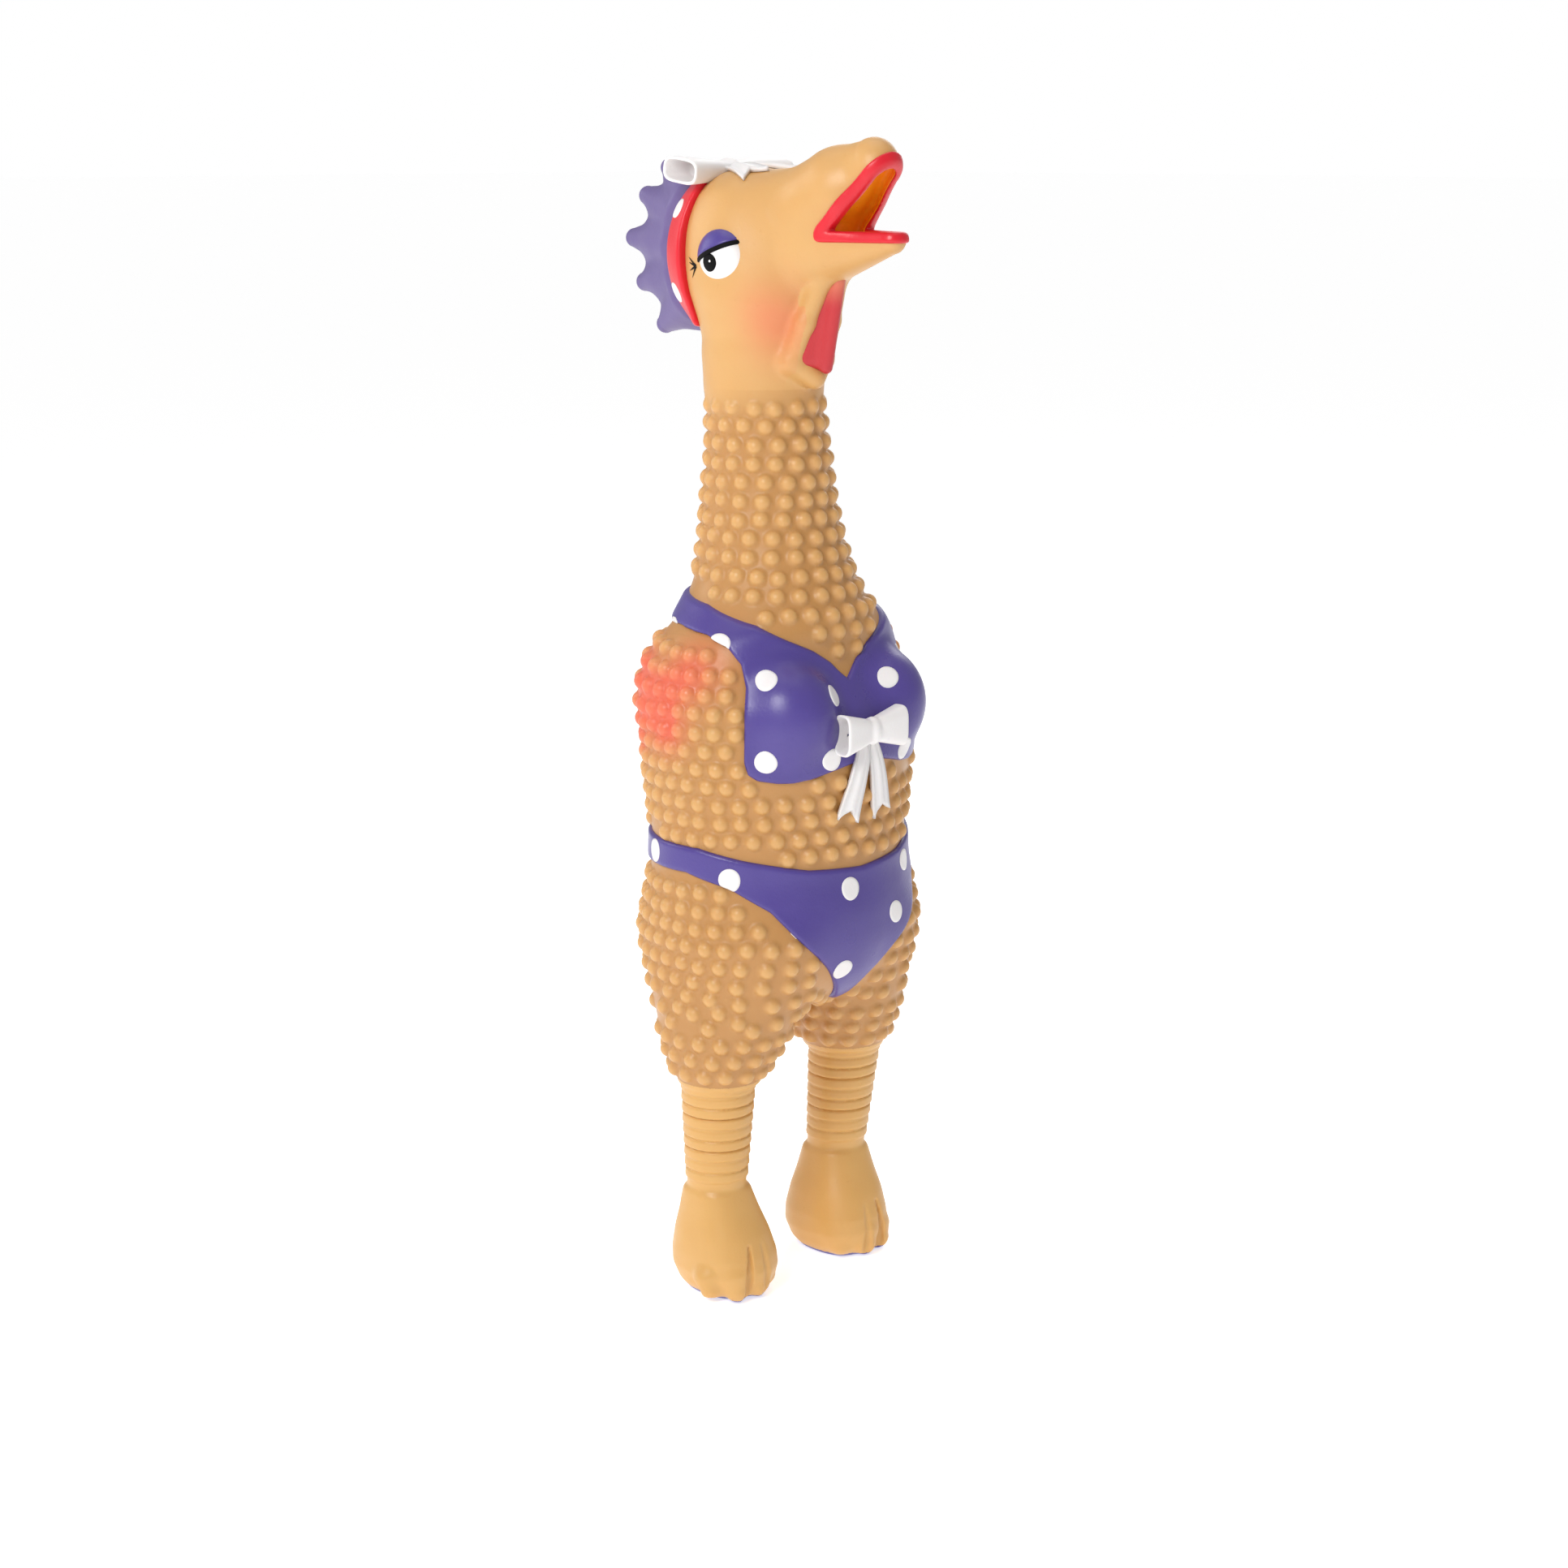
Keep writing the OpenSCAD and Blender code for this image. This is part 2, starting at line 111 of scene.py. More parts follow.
# Half-widths, half-depths and centres of the trunk and neck against height
TRUNK_R = Curve([(96, 18), (104, 24), (112, 32), (120, 40), (128, 46), (138, 49.8), (149, 50), (162, 47.6),
                 (176, 47.2), (188, 47.8), (198, 49.2), (211, 50), (226, 49.6), (236, 47.6), (244, 44.8),
                 (250, 41.5), (256, 35.5), (262, 31.2), (270, 28.2), (281, 25.6), (295, 23.6),
                 (309, 22.0), (322, 20.8), (332, 20.4), (345, 20.6), (356, 22)])
TRUNK_Y = Curve([(96, 0), (250, 0.5), (262, 2.2), (279, 4), (294, 5.7), (308, 5.8), (330, 7.4), (356, 8)])
TRUNK_WIDE = Curve([(96, 1.09), (240, 1.09), (256, 1.04), (264, 1.0), (356, 1.0)])
TRUNK_DEEP = Curve([(96, 0.88), (205, 0.88), (222, 0.82), (236, 0.7), (247, 0.74), (258, 0.97), (264, 1.0),
                    (356, 1.0)])
LEG_X = Curve([(80, 33.4), (88, 32.6), (100, 30), (113, 27.6), (125, 26), (150, 24)])
LEG_R = Curve([(80, 14.6), (85, 16.0), (90, 18.6), (98, 21.6), (106, 23.8), (118, 25.6),
               (135, 27), (150, 26)],
              4.0)
LEG_DEEP = Curve([(80, 1.0), (88, 1.02), (100, 1.1), (113, 1.22), (125, 1.34), (150, 1.44)])
LEG_Y = Curve([(80, -1.6), (100, -1.0), (125, 0), (150, 0)])


def turned(x, y, z, radius, cy, wide, deep):
    """Body whose cross-section at height z is an ellipse."""
    sx, sy, r = wide(z), deep(z), radius(z)
    dx, dy = x / sx, (y - cy(z)) / sy
    rho = np.sqrt(dx * dx + dy * dy) + 1e-6
    steep = np.sqrt((dx / sx) ** 2 + (dy / sy) ** 2) / rho
    slope = (radius(z + 1) - radius(z - 1)) / 2
    return (rho - r) / np.sqrt(steep * steep + slope * slope + 1e-4)


def trunk(x, y, z):
    """Trunk and neck without bumps, closed at the crotch and under the skull."""
    body = turned(x, y, z, TRUNK_R, TRUNK_Y, TRUNK_WIDE, TRUNK_DEEP)
    return smax(smax(body, 110.0 - z, 10.0), z - 352.0, 6.0)


def thighs(x, y, z):
    """Both thighs down to the ribbed shanks."""
    slope = (LEG_R(z + 1) - LEG_R(z - 1)) / 2
    near = np.sqrt((np.abs(x) - LEG_X(z)) ** 2 + ((y - LEG_Y(z)) / LEG_DEEP(z)) ** 2) - LEG_R(z)
    return smax(smax(near / np.sqrt(1 + slope * slope), z - 146.0, 12.0), 82.0 - z, 1.5)


def wing_swell(x, y, z):
    """Folded wings: a bulge on each side of the chest, which overhangs the waist a little."""
    return egg(np.abs(x), y, z, (23, 9, 226), (30.5, 27, 30.5))


def skin_plain(x, y, z):
    """Smooth latex of the trunk and the thighs, without the wings."""
    return smin(trunk(x, y, z), thighs(x, y, z), 7.0)


def skin(x, y, z):
    """Smooth latex under the bumps, from the thighs to the top of the neck."""
    return smin(skin_plain(x, y, z), wing_swell(x, y, z), 3.0)


# ---- garment outlines, drawn as the angle from the front in degrees against the height ----
class Outline:
    """Closed outline on the unrolled body, looked up from a table of distances."""

    def __init__(self, corners, low, high):
        self.low = low
        a = np.arange(0, 181.0)[:, None]
        z = np.arange(low, high, 0.5)[None, :]
        mm = 0.86                                    # width of one degree on the body
        px, pz = a * mm, z
        best = np.full((a.shape[0], z.shape[1]), 1e9)
        crossings = np.zeros(best.shape, bool)
        ends = [(u * mm, v) for u, v in corners]
        for (ux, uz), (vx, vz) in zip(ends, ends[1:] + ends[:1]):
            ex, ez = vx - ux, vz - uz
            t = np.clip(((px - ux) * ex + (pz - uz) * ez) / (ex * ex + ez * ez), 0, 1)
            dist = np.hypot(px - ux - ex * t, pz - uz - ez * t)
            on_seam = abs(ux - vx) < 1e-6 and (ux < 1 or ux > 179 * mm)
            if not on_seam:
                best = np.minimum(best, dist)
            if uz != vz:
                crossings ^= ((uz > pz) != (vz > pz)) & (px < ux + ex * (pz - uz) / ez)
        self.table = np.where(crossings, -best, best).astype(np.float32)

    def __call__(self, x, y, z):
        a = np.degrees(np.arctan2(np.abs(x), -y))
        ia = np.clip(a.astype(int), 0, 179)
        fa = a - ia
        v = np.clip((z - self.low) * 2, 0, self.table.shape[1] - 1.001)
        iz = v.astype(int)
        fz = v - iz
        t = self.table
        near = t[ia, iz] * (1 - fa) + t[ia + 1, iz] * fa
        return near * (1 - fz) + (t[ia, iz + 1] * (1 - fa) + t[ia + 1, iz + 1] * fa) * fz


TOP = Outline([(0, 234.0), (5, 236.5), (12, 240.5), (24, 245.0), (40, 249.4), (58, 254.8), (95, 260.3),
               (135, 262.3), (181, 263.0), (181, 251.5), (135, 252.6), (104, 252.8), (82, 251.2),
               (70, 247.8), (63, 242), (60, 234), (59.3, 220), (59.3, 208), (57.8, 203.6), (54, 201.4),
               (46, 200.2), (39, 200), (30, 201), (22, 202.6), (10, 204.6), (0, 205.4)], 190.0, 275.0)
BOTTOM = Outline([(0, 165.7), (31, 167.2), (60, 171.7), (80, 175.4), (119, 176.0), (181, 176.5), (181, 165.3),
                  (119, 165.3), (85, 165.8), (66, 161.5), (49, 153.2), (35, 141), (21, 129.5), (12, 121),
                  (6, 114.5), (0, 112.5)], 100.0, 190.0)
PANEL_T = 1.5                          # height of a garment above the latex


def cups(x, y, z):
    """The two cups."""
    return egg(np.abs(x), y, z, (23.0, -25.0, 221.5), (18.5, 21.0, 21.0))


def top_body(x, y, z):
    """Surface that the bikini top covers, with the cups."""
    return smin(skin_plain(x, y, z) - PANEL_T, cups(x, y, z), 5.0)


def bikini_top(x, y, z):
    """Bikini top with rounded edges, solid to the middle of the body."""
    return smax(top_body(x, y, z), TOP(x, y, z) * 0.95, 1.5)


def bikini_bottom(x, y, z):
    """Bikini bottom with rounded edges, solid to the middle of the body."""
    return smax(skin_plain(x, y, z) - PANEL_T, BOTTOM(x, y, z) * 0.95, 1.5)


def near_skin(garment):
    """Field of a garment without the part deep inside the body."""
    return lambda x, y, z: np.maximum(garment(x, y, z), -2.4 - skin_plain(x, y, z))



# ---- meshes from fields ----
def axes(low, high, step):
    """Coordinates of a grid whose points lie on whole multiples of step, and its first index."""
    first = np.floor(np.array(low) / step).astype(int)
    last = np.ceil(np.array(high) / step).astype(int)
    x, y, z = (np.arange(first[i], last[i] + 1, dtype=np.float32) * np.float32(step) for i in range(3))
    return x[:, None, None], y[None, :, None], z[None, None, :], first


def polygons(d, first, step):
    """Points in mm and quads of the surface where the sampled field d is zero."""
    band = 3 * step
    grid = openvdb.FloatGrid(band)
    grid.copyFromArray(np.ascontiguousarray(np.clip(d, -band, band).astype(np.float32)))
    points, _, quads = grid.convertToPolygons(0.0, 0.0)
    return (points + first) * step, quads[:, ::-1] if len(quads) else quads


def point_normals(points, quads):
    """Area-weighted normal of every point."""
    a, b = points[quads[:, 2]] - points[quads[:, 0]], points[quads[:, 3]] - points[quads[:, 1]]
    face = np.cross(a, b)
    total = np.zeros_like(points)
    for i in range(4):
        np.add.at(total, quads[:, i], face)
    return total / np.maximum(np.linalg.norm(total, axis=1, keepdims=True), 1e-9)


def to_object(name, points, faces, material, body=None, replace=(), slot=None, normals=None):
    """Object from points in mm about the body's axis, in its place in the row frame."""
    mesh = bpy.data.meshes.new(name)
    place = (np.asarray(points, float) + (0, AXIS_Y, 0)) / 1000
    mesh.from_pydata(place, [], faces)
    mesh.polygons.foreach_set("use_smooth", np.ones(len(mesh.polygons), bool))
    mesh.update()
    if normals is not None:
        mesh.normals_split_custom_set_from_vertices(normals)
    obj = bpy.data.objects.new(name, mesh)
    bpy.context.scene.collection.objects.link(obj)
    mesh.materials.append(material)
    if body:
        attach(obj, body)
    if replace:
        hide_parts(*replace)
    return obj


def paint(obj, name, values):
    """Stores one number per point, which the material reads as an attribute."""
    layer = obj.data.attributes.new(name, "FLOAT", "POINT")
    layer.data.foreach_set("value", np.asarray(values, np.float32))


def from_field(name, field, low, high, material, step=None, **facts):
    """Object of the surface of a field inside a box."""
    step = step or STEP
    x, y, z, first = axes(low, high, step)
    points, quads = polygons(field(x, y, z), first, step)
    return to_object(name, points, quads, material, **facts)


def field_normals(field, points):
    """Directions in which the field grows fastest at some points."""
    e = 0.3
    g = np.empty((len(points), 3))
    for i in range(3):
        up, down = points.copy(), points.copy()
        up[:, i] += e
        down[:, i] -= e
        g[:, i] = field(*up.T) - field(*down.T)
    return g / np.maximum(np.linalg.norm(g, axis=1, keepdims=True), 1e-9)


def onto(field, points, turns=6):
    """The points moved onto the field's surface."""
    points = np.array(points, float)
    for _ in range(turns):
        points -= field_normals(field, points) * field(*points.T)[:, None] * 0.9
    return points


# ---- moulded bumps ----
def ring_points(z, centre_x, centre_y, rx, ry, shift):
    """Evenly spaced points on an ellipse at height z."""
    length = math.pi * (3 * (rx + ry) - math.sqrt((3 * rx + ry) * (rx + 3 * ry)))
    n = max(int(round(length / BUMP_PITCH)), 3)
    t = (np.arange(n) + 0.5 * shift) / n * 2 * math.pi
    return np.stack([centre_x + rx * np.cos(t), centre_y + ry * np.sin(t), np.full(n, z)], 1)


def bump_centres():
    """Centres of all the bumps, in staggered rows on the skin."""
    rows = []
    for i, z in enumerate(np.arange(113.0, 333.0, BUMP_PITCH * 0.8)):
        r, wide, deep = float(TRUNK_R(z)), float(TRUNK_WIDE(z)), float(TRUNK_DEEP(z))
        rows.append(ring_points(z, 0.0, float(TRUNK_Y(z)), r * wide, r * deep, i % 2))
    for side in (RIGHT, LEFT):
        for i, z in enumerate(np.arange(88.5, 122.0, BUMP_PITCH * 0.8)):
            r = float(LEG_R(z))
            deep = r * float(LEG_DEEP(z))
            rows.append(ring_points(z, side * float(LEG_X(z)), float(LEG_Y(z)), r, deep, i % 2))
    points = onto(skin, np.concatenate(rows))
    points += rng.normal(0, 0.2, points.shape)
    points = onto(skin, points, 2)
    points = points[(points[:, 2] > 87.0) & (points[:, 2] < 332.0)]
    free = np.minimum(TOP(*points.T), BOTTOM(*points.T))
    points = points[free > 2.7]
    kept = np.empty((0, 3))
    for p in points:
        if not len(kept) or np.linalg.norm(kept - p, axis=1).min() > BUMP_PITCH * 0.7:
            kept = np.vstack([kept, p])
    return kept + field_normals(skin, kept) * BUMP_OUT


def stamp(d, x, y, z, centres, radius, k, first, step):
    """Adds balls to a sampled field, each in its own small part of the grid."""
    reach = int(math.ceil((radius + k + 1.5) / step))
    for c in centres:
        i = [int(round(c[n] / step)) - first[n] for n in range(3)]
        s = tuple(slice(max(i[n] - reach, 0), max(i[n] + reach + 1, 0)) for n in range(3))
        part = d[s]
        if part.size == 0:
            continue
        near = ball(x[s[0]], y[:, s[1]], z[:, :, s[2]], c, radius)
        d[s] = smin(part, near, k)
    return d


# ---- shanks and feet; both sides come from the same field of |x| ----
ANKLE_Z = 39.5
KNEE_Z = 84.0
RIBS = 9
SHANK_X = Curve([(30, 31.6), (39, 32), (84, 33.8), (95, 33.8)], 3.0)
SHANK_Y = Curve([(30, 1.8), (39, 1.5), (84, -1.7), (95, -1.7)], 3.0)
FOOT_WIDE = Curve([(-6, 7), (0, 11.5), (4, 14.8), (10, 17), (16, 16.9), (24, 15.4), (32, 13.4), (39.5, 11.9),
                   (46, 11.6)], 2.0)
FOOT_DEEP = Curve([(-6, 9), (0, 14), (4, 17.6), (10, 20), (16, 19.7), (24, 17.6), (32, 14.4), (39.5, 11.9),
                   (46, 11.6)], 2.0)
FOOT_Y = Curve([(-6, -1), (10, -1), (24, -0.2), (40, 1.5), (46, 1.5)])
FOOT_X = Curve([(-6, 30), (12, 30), (40, 32), (46, 32)])
TOE_GROOVES = [14.5, 6.0, -2.8]        # distance outwards from the middle of the foot
PITCH = (KNEE_Z - ANKLE_Z - 5.0) / RIBS


def shanks(x, y, z):
    """Ribbed shanks: each rib flares downwards and steps back in."""
    along = (KNEE_Z - z) / PITCH
    part = np.mod(along, 1.0)
    rib = 0.55 * part ** 1.5 - 0.95 * np.exp(-((1 - np.abs(part * 2 - 1)) / 0.2) ** 2)
    rib = np.where((along > 0) & (along < RIBS), rib, -0.3)
    r = 13.9 - 2.4 * np.clip(along / RIBS, 0, 1.1) + rib
    near = np.sqrt((np.abs(x) - SHANK_X(z)) ** 2 + (y - SHANK_Y(z)) ** 2) - r
    return smax(smax(near * 0.93, z - 90.0, 2.0), 36.0 - z, 2.0)


def feet(x, y, z):
    """Broad feet with four toes at the front."""
    dx = np.abs(x) - FOOT_X(z)
    dy = y - FOOT_Y(z)
    wide, deep = FOOT_WIDE(z), FOOT_DEEP(z)
    n = 2.5
    rho = (np.abs(dx / wide) ** n + np.abs(dy / deep) ** n + 1e-6) ** (1 / n)
    solid = (rho - 1.0) * 14.0
    solid = smax(smax(solid, z - 41.0, 2.5), -z - 3.0, 5.0)
    toes = [(20.5, -11.0, 3.6), (29.0, -15.5, 4.6), (37.8, -14.0, 4.8), (44.0, -6.5, 4.2)]
    for tx, ty, r in toes:
        solid = smin(solid, cone(np.abs(x), y, z, (tx, ty, 9.0), (tx, ty - 1.5, 5.0), r + 1.2, r), 2.2)
    for offset in TOE_GROOVES:
        low = (30 + offset, -21.5 + 0.062 * offset ** 2, 2.0)
        mid = (30 + offset * 0.92, -22.3 + 0.062 * offset ** 2, 11.0)
        high = (30 + offset * 0.72, -19.5 + 0.045 * offset ** 2, 21.0)
        lower_half = cone(np.abs(x), y, z, low, mid, 2.0, 1.5)
        cut = np.minimum(lower_half, cone(np.abs(x), y, z, mid, high, 1.5, 0.5))
        solid = smax(solid, -cut, 0.9)
    return np.maximum(solid, -z)


# ---- head ----
MOUTH = (0.0, -34.0, 391.6)            # corner line of the mouth
GAPE = math.radians(47)
LIP_WIDE = 3.6
NOSE = [(0, -13, 395.5), (0, -31.0, 406.2), (0, -46.0, 414.8)]
NOSE_R = [17.5, 14.6, 8.8]
CHIN = [(0, -23, 385.6), (0, -55.0, 388.8)]
CHIN_R = [13.8, 4.6]


def above_mouth(y, z):
    """Distance above the plane of the upper beak's edge."""
    return (z - MOUTH[2]) * math.cos(GAPE) + (y - MOUTH[1]) * math.sin(GAPE)


def upper_beak(x, y, z):
    """Blunt upper beak before the mouth is cut away."""
    back = cone(x, y, z, NOSE[0], NOSE[1], NOSE_R[0], NOSE_R[1])
    front = cone(x * 1.08, y, z, NOSE[1], NOSE[2], NOSE_R[1], NOSE_R[2])
    edge = cone(x, y, z, (0, -24, 392.5), (0, -46.0, 412.3), 13.3, 8.2)
    return smin(smin(back, front, 2.0), edge, 2.5)


def lower_beak(x, y, z):
    """Lower beak before the mouth is cut away."""
    return cone(x, y, z, CHIN[0], CHIN[1], CHIN_R[0], CHIN_R[1])


def mouth_room(x, y, z):
    """Hollow of the mouth: a trough in each half of the beak, which meet in the throat."""
    roof = smax(upper_beak(x, y, z) + 1.3, above_mouth(y, z) - 6.0, 3.0)
    roof = smax(roof, y + 28.5, 3.0)
    floor = smax(lower_beak(x, y, z) + 1.3, MOUTH[2] - 4.2 - z, 3.0)
    floor = smax(floor, y + 29.0, 3.0)
    return smin(roof, floor, 1.0)


def gape(x, y, z):
    """Open wedge between the two halves of the beak."""
    wedge = np.maximum(above_mouth(y, z), MOUTH[2] - z)
    return smax(wedge, y - MOUTH[1], 2.0)


def cheek_fold(x, y, z):
    """Rounded fold that frames the wattle, from the cheek down to the throat."""
    ax = np.abs(x)
    a = cone(ax, y, z, (3.5, -25.5, 376), (6.2, -19.0, 360), 3.6, 3.8)
    b = cone(ax, y, z, (6.2, -19.0, 360), (7.8, -13.5, 346), 3.8, 4.2)
    c = cone(ax, y, z, (7.8, -13.5, 346), (0, -17.5, 340), 4.2, 4.0)
    return smin(smin(a, b, 2.0), c, 2.0)


def wattle(x, y, z):
    """Wattle: a keel under the chin with a flat face on each side."""
    ridge = cone(x, y, z, (0, -29.5, 376), (0, -23.5, 344.0), 2.6, 2.2)
    back = cone(np.abs(x), y, z, (3.0, -20, 371), (4.0, -16, 348), 4.0, 4.2)
    web = np.maximum(np.abs(x) * 0.78 - (y + 31.2 + (z - 376) * 0.19) * 0.62, y + 12)
    web = smax(smax(web, z - 378, 2.0), 342.5 - z, 6.0)
    return smax(smin(smin(ridge, back, 6.0), web + 0.6, 2.5), np.abs(x) - 12.0, 2.0)


def head(x, y, z):
    """Smooth head, before the mouth is cut."""
    skull = egg(x, y, z, (0, 10.5, 385.5), (26.5, 28.5, 30.5))
    skull = smax(skull, z - 416.0 - 0.03 * (y - 12), 12.0)
    face = smin(skull, upper_beak(x, y, z), 9.0)
    jowl = cone(x, y, z, (0, 8.5, 338), (0, 6, 368), 20.8, 24.5)
    face = smin(face, jowl, 12.0)
    return smin(face, lower_beak(x, y, z), 7.0)


def head_skin(x, y, z):
    """Neck and head in one surface with the mouth cut out."""
    neck = smax(turned(x, y, z, TRUNK_R, TRUNK_Y, TRUNK_WIDE, TRUNK_DEEP), z - 350.0, 6.0)
    whole = smin(neck, head(x, y, z), 5.0)
    whole = smin(whole, cheek_fold(x, y, z), 3.0)
    whole = smax(whole, -gape(x, y, z), 0.8)
    return smax(whole, -mouth_room(x, y, z), 0.8)


# ---- materials ----
def linear(rgb):
    """Linear colour of an 8-bit sRGB colour."""
    out = [c / 12.92 if c <= 0.04045 else ((c + 0.055) / 1.055) ** 2.4 for c in (v / 255 for v in rgb)]
    return (*out, 1.0)


def rubber(name, colour, shade, roughness=0.42, mottle=0.16, grain=0.05, soft=0.12, relief=None, blush=None):
    """Painted or bare latex: mottled colour, fine grain, worn gloss, optional painted shade low between the
    bumps and an optional airbrushed blush.
    """
    m = bpy.data.materials.new(name)
    m.use_nodes = True
    tree = m.node_tree
    nodes, links = tree.nodes, tree.links
    shader = nodes["Principled BSDF"]
    shader.inputs["Subsurface Weight"].default_value = soft
    shader.inputs["Subsurface Radius"].default_value = (1.0, 0.45, 0.2)
    shader.inputs["Subsurface Scale"].default_value = 0.003
    shader.inputs["Specular IOR Level"].default_value = 0.45
    place = nodes.new("ShaderNodeTexCoord")

    def noise(scale, detail):
        n = nodes.new("ShaderNodeTexNoise")
        n.inputs["Scale"].default_value = scale
        n.inputs["Detail"].default_value = detail
        links.new(place.outputs["Object"], n.inputs["Vector"])
        return n.outputs["Fac"]

    def spread(value, low, high, to_low=0.0, to_high=1.0):
        r = nodes.new("ShaderNodeMapRange")
        for key, v in (("From Min", low), ("From Max", high), ("To Min", to_low), ("To Max", to_high)):
            r.inputs[key].default_value = v
        links.new(value, r.inputs["Value"])
        return r.outputs["Result"]

    def mix(factor, a, b):
        n = nodes.new("ShaderNodeMix")
        n.data_type = "RGBA"
        for key, v in ((0, factor), (6, a), (7, b)):
            if hasattr(v, "is_linked"):
                links.new(v, n.inputs[key])
            else:
                n.inputs[key].default_value = v
        return n.outputs[2]

    def stored(key):
        n = nodes.new("ShaderNodeAttribute")
        n.attribute_name = key
        return n.outputs["Fac"]

    tint = mix(spread(noise(38.0, 4.0), 0.35, 0.7, 0.0, mottle * 3), linear(colour), linear(shade))
    # Painted shade: the colour turns towards relief where the stored height above the bare skin is low,
    # between the bumps, and stays plain on their tops.
    if relief:
        tint = mix(spread(stored("relief"), 0.0, 1.5, 1.0, 0.0), tint, linear(relief))
    tint = mix(spread(noise(420.0, 3.0), 0.66, 0.78, 0.0, 0.35), tint, linear(shade))
    if blush:
        tint = mix(stored("blush"), tint, linear(blush))
    links.new(tint, shader.inputs["Base Color"])
    uneven = spread(noise(90.0, 3.0), 0.3, 0.75, roughness - 0.07, roughness + 0.1)
    links.new(uneven, shader.inputs["Roughness"])
    bump = nodes.new("ShaderNodeBump")
    bump.inputs["Strength"].default_value = grain * 4
    bump.inputs["Distance"].default_value = 0.0003
    links.new(noise(900.0, 4.0), bump.inputs["Height"])
    links.new(bump.outputs["Normal"], shader.inputs["Normal"])
    return m


# The relief colour is painted shade on the bare latex between the bumps.
LATEX = rubber("latex_skin_paint", (205, 158, 98), (194, 143, 82), 0.41, 0.12, relief=(182, 132, 76),
               blush=(224, 78, 70))
LEG_LATEX = rubber("latex_leg_paint", (212, 165, 98), (200, 150, 82), 0.4, 0.12)
PURPLE = rubber("purple_paint_latex", (80, 66, 140), (66, 52, 122), 0.33, 0.14, soft=0.04)
COMB_PAINT = rubber("comb_paint_latex", (104, 90, 140), (88, 74, 124), 0.45, 0.14, soft=0.04)
RED = rubber("red_paint_latex", (214, 26, 42), (188, 18, 36), 0.36, 0.14, soft=0.05)
WATTLE_RED = rubber("wattle_paint_latex", (186, 44, 50), (170, 34, 44), 0.42, 0.14, soft=0.08,
                    blush=(206, 120, 90))
WHITE = rubber("white_paint_latex", (232, 229, 228), (214, 209, 210), 0.42, 0.12, soft=0.05)
BLACK = rubber("black_paint", (6, 5, 6), (14, 12, 14), 0.6, 0.12, soft=0.0)
BLACK.node_tree.nodes["Principled BSDF"].inputs["Specular IOR Level"].default_value = 0.12
ORANGE = rubber("mouth_paint", (255, 172, 26), (250, 150, 20), 0.3, 0.16, soft=0.08, blush=(238, 84, 40))
PLASTIC = rubber("squeaker_plastic_white", (226, 226, 220), (206, 205, 198), 0.35, 0.1, soft=0.05)


# ---- skins: one continuous surface, divided where the toy bends ----
def divide(points, quads, keep):
    """The faces whose middles pass the test keep, with their own points and the points' old numbers."""
    faces = quads[keep(points[quads].mean(axis=1))]
    used = np.unique(faces)
    lookup = np.full(len(points), -1)
    lookup[used] = np.arange(len(used))
    return points[used], lookup[faces], used


def open_edges(faces):
    """Edges that belong to only one face, in that face's direction."""
    edges = np.concatenate([faces[:, [i, (i + 1) % faces.shape[1]]] for i in range(faces.shape[1])])
    key = np.sort(edges, axis=1)
    order = np.unique(key, axis=0, return_inverse=True, return_counts=True)
    return edges[order[2][order[1].ravel()] == 1]


def with_wall(points, faces, edge_test, shift):
    """The surface with a wall along some of its open edges, which goes inwards by shift."""
    edges = open_edges(faces)
    edges = edges[edge_test(points[edges].mean(axis=1))]
    ends = np.unique(edges)
    lookup = np.full(len(points), -1)
    lookup[ends] = np.arange(len(ends)) + len(points)
    wall = np.stack([edges[:, 1], edges[:, 0], lookup[edges[:, 0]], lookup[edges[:, 1]]], 1)
    return np.concatenate([points, points[ends] + shift]), np.concatenate([faces, wall]), len(ends)


def soft_step(v, low, high):
    """0 below low, 1 above high and smooth between."""
    t = np.clip((v - low) / (high - low), 0, 1)
    return t * t * (3 - 2 * t)


def wing_distance(p):
    """Distance from the middle line of the wing panels, seen from the side."""
    return np.hypot(p[:, 1] - WING[1], p[:, 2] - WING[2])


def relief_of(points):
    """Height of each point above the skin under the bumps; the latex material paints shade where it is low.
    """
    return skin(*points.T)


def blush_of_wing(p):
    """Airbrushed red on the wings: two soft patches, a little broken up."""
    spots = [((-9, 238), 11), ((3, 229), 9), ((-2, 218), 9), ((14, 224), 13), ((22, 212), 8), ((17, 238), 8)]
    total = np.zeros(len(p))
    for (y, z), r in spots:
        total += np.exp(-((p[:, 1] - y - 4) ** 2 + (p[:, 2] - z) ** 2) / (r * r) * 1.1)
    return np.clip(total * 0.62, 0, 0.7) * (np.abs(p[:, 0]) > 30)


WING = (26.0, 6.0, 226.0)
WING_R = 24.2
CENTRES = bump_centres()


def block_surface(field, low, high, centres):
    """Surface of a field with bumps stamped on it, with normals."""
    x, y, z, first = axes(low, high, STEP)
    d = np.ascontiguousarray(field(x, y, z).astype(np.float32))
    reach = 6.0
    inside = np.all((centres > np.array(low) - reach) & (centres < np.array(high) + reach), axis=1)
    stamp(d, x, y, z, centres[inside], BUMP_R, 1.0, first, STEP)
    points, quads = polygons(d, first, STEP)
    return points, quads, point_normals(points, quads)


# ---- the latex skin ----
def lower_field(x, y, z):
    """Everything bare below the neck: trunk, wings, thighs, shanks and feet."""
    legs = smin(shanks(x, y, z), feet(x, y, z), 1.2)
    return smin(skin(x, y, z), legs, 0.6)


HIP_SEAM, COLLAR_SEAM, NECK_SEAM = 110.65, 251.55, 300.2
KNEE_SEAM, ANKLE_SEAM = 84.2, 47.6


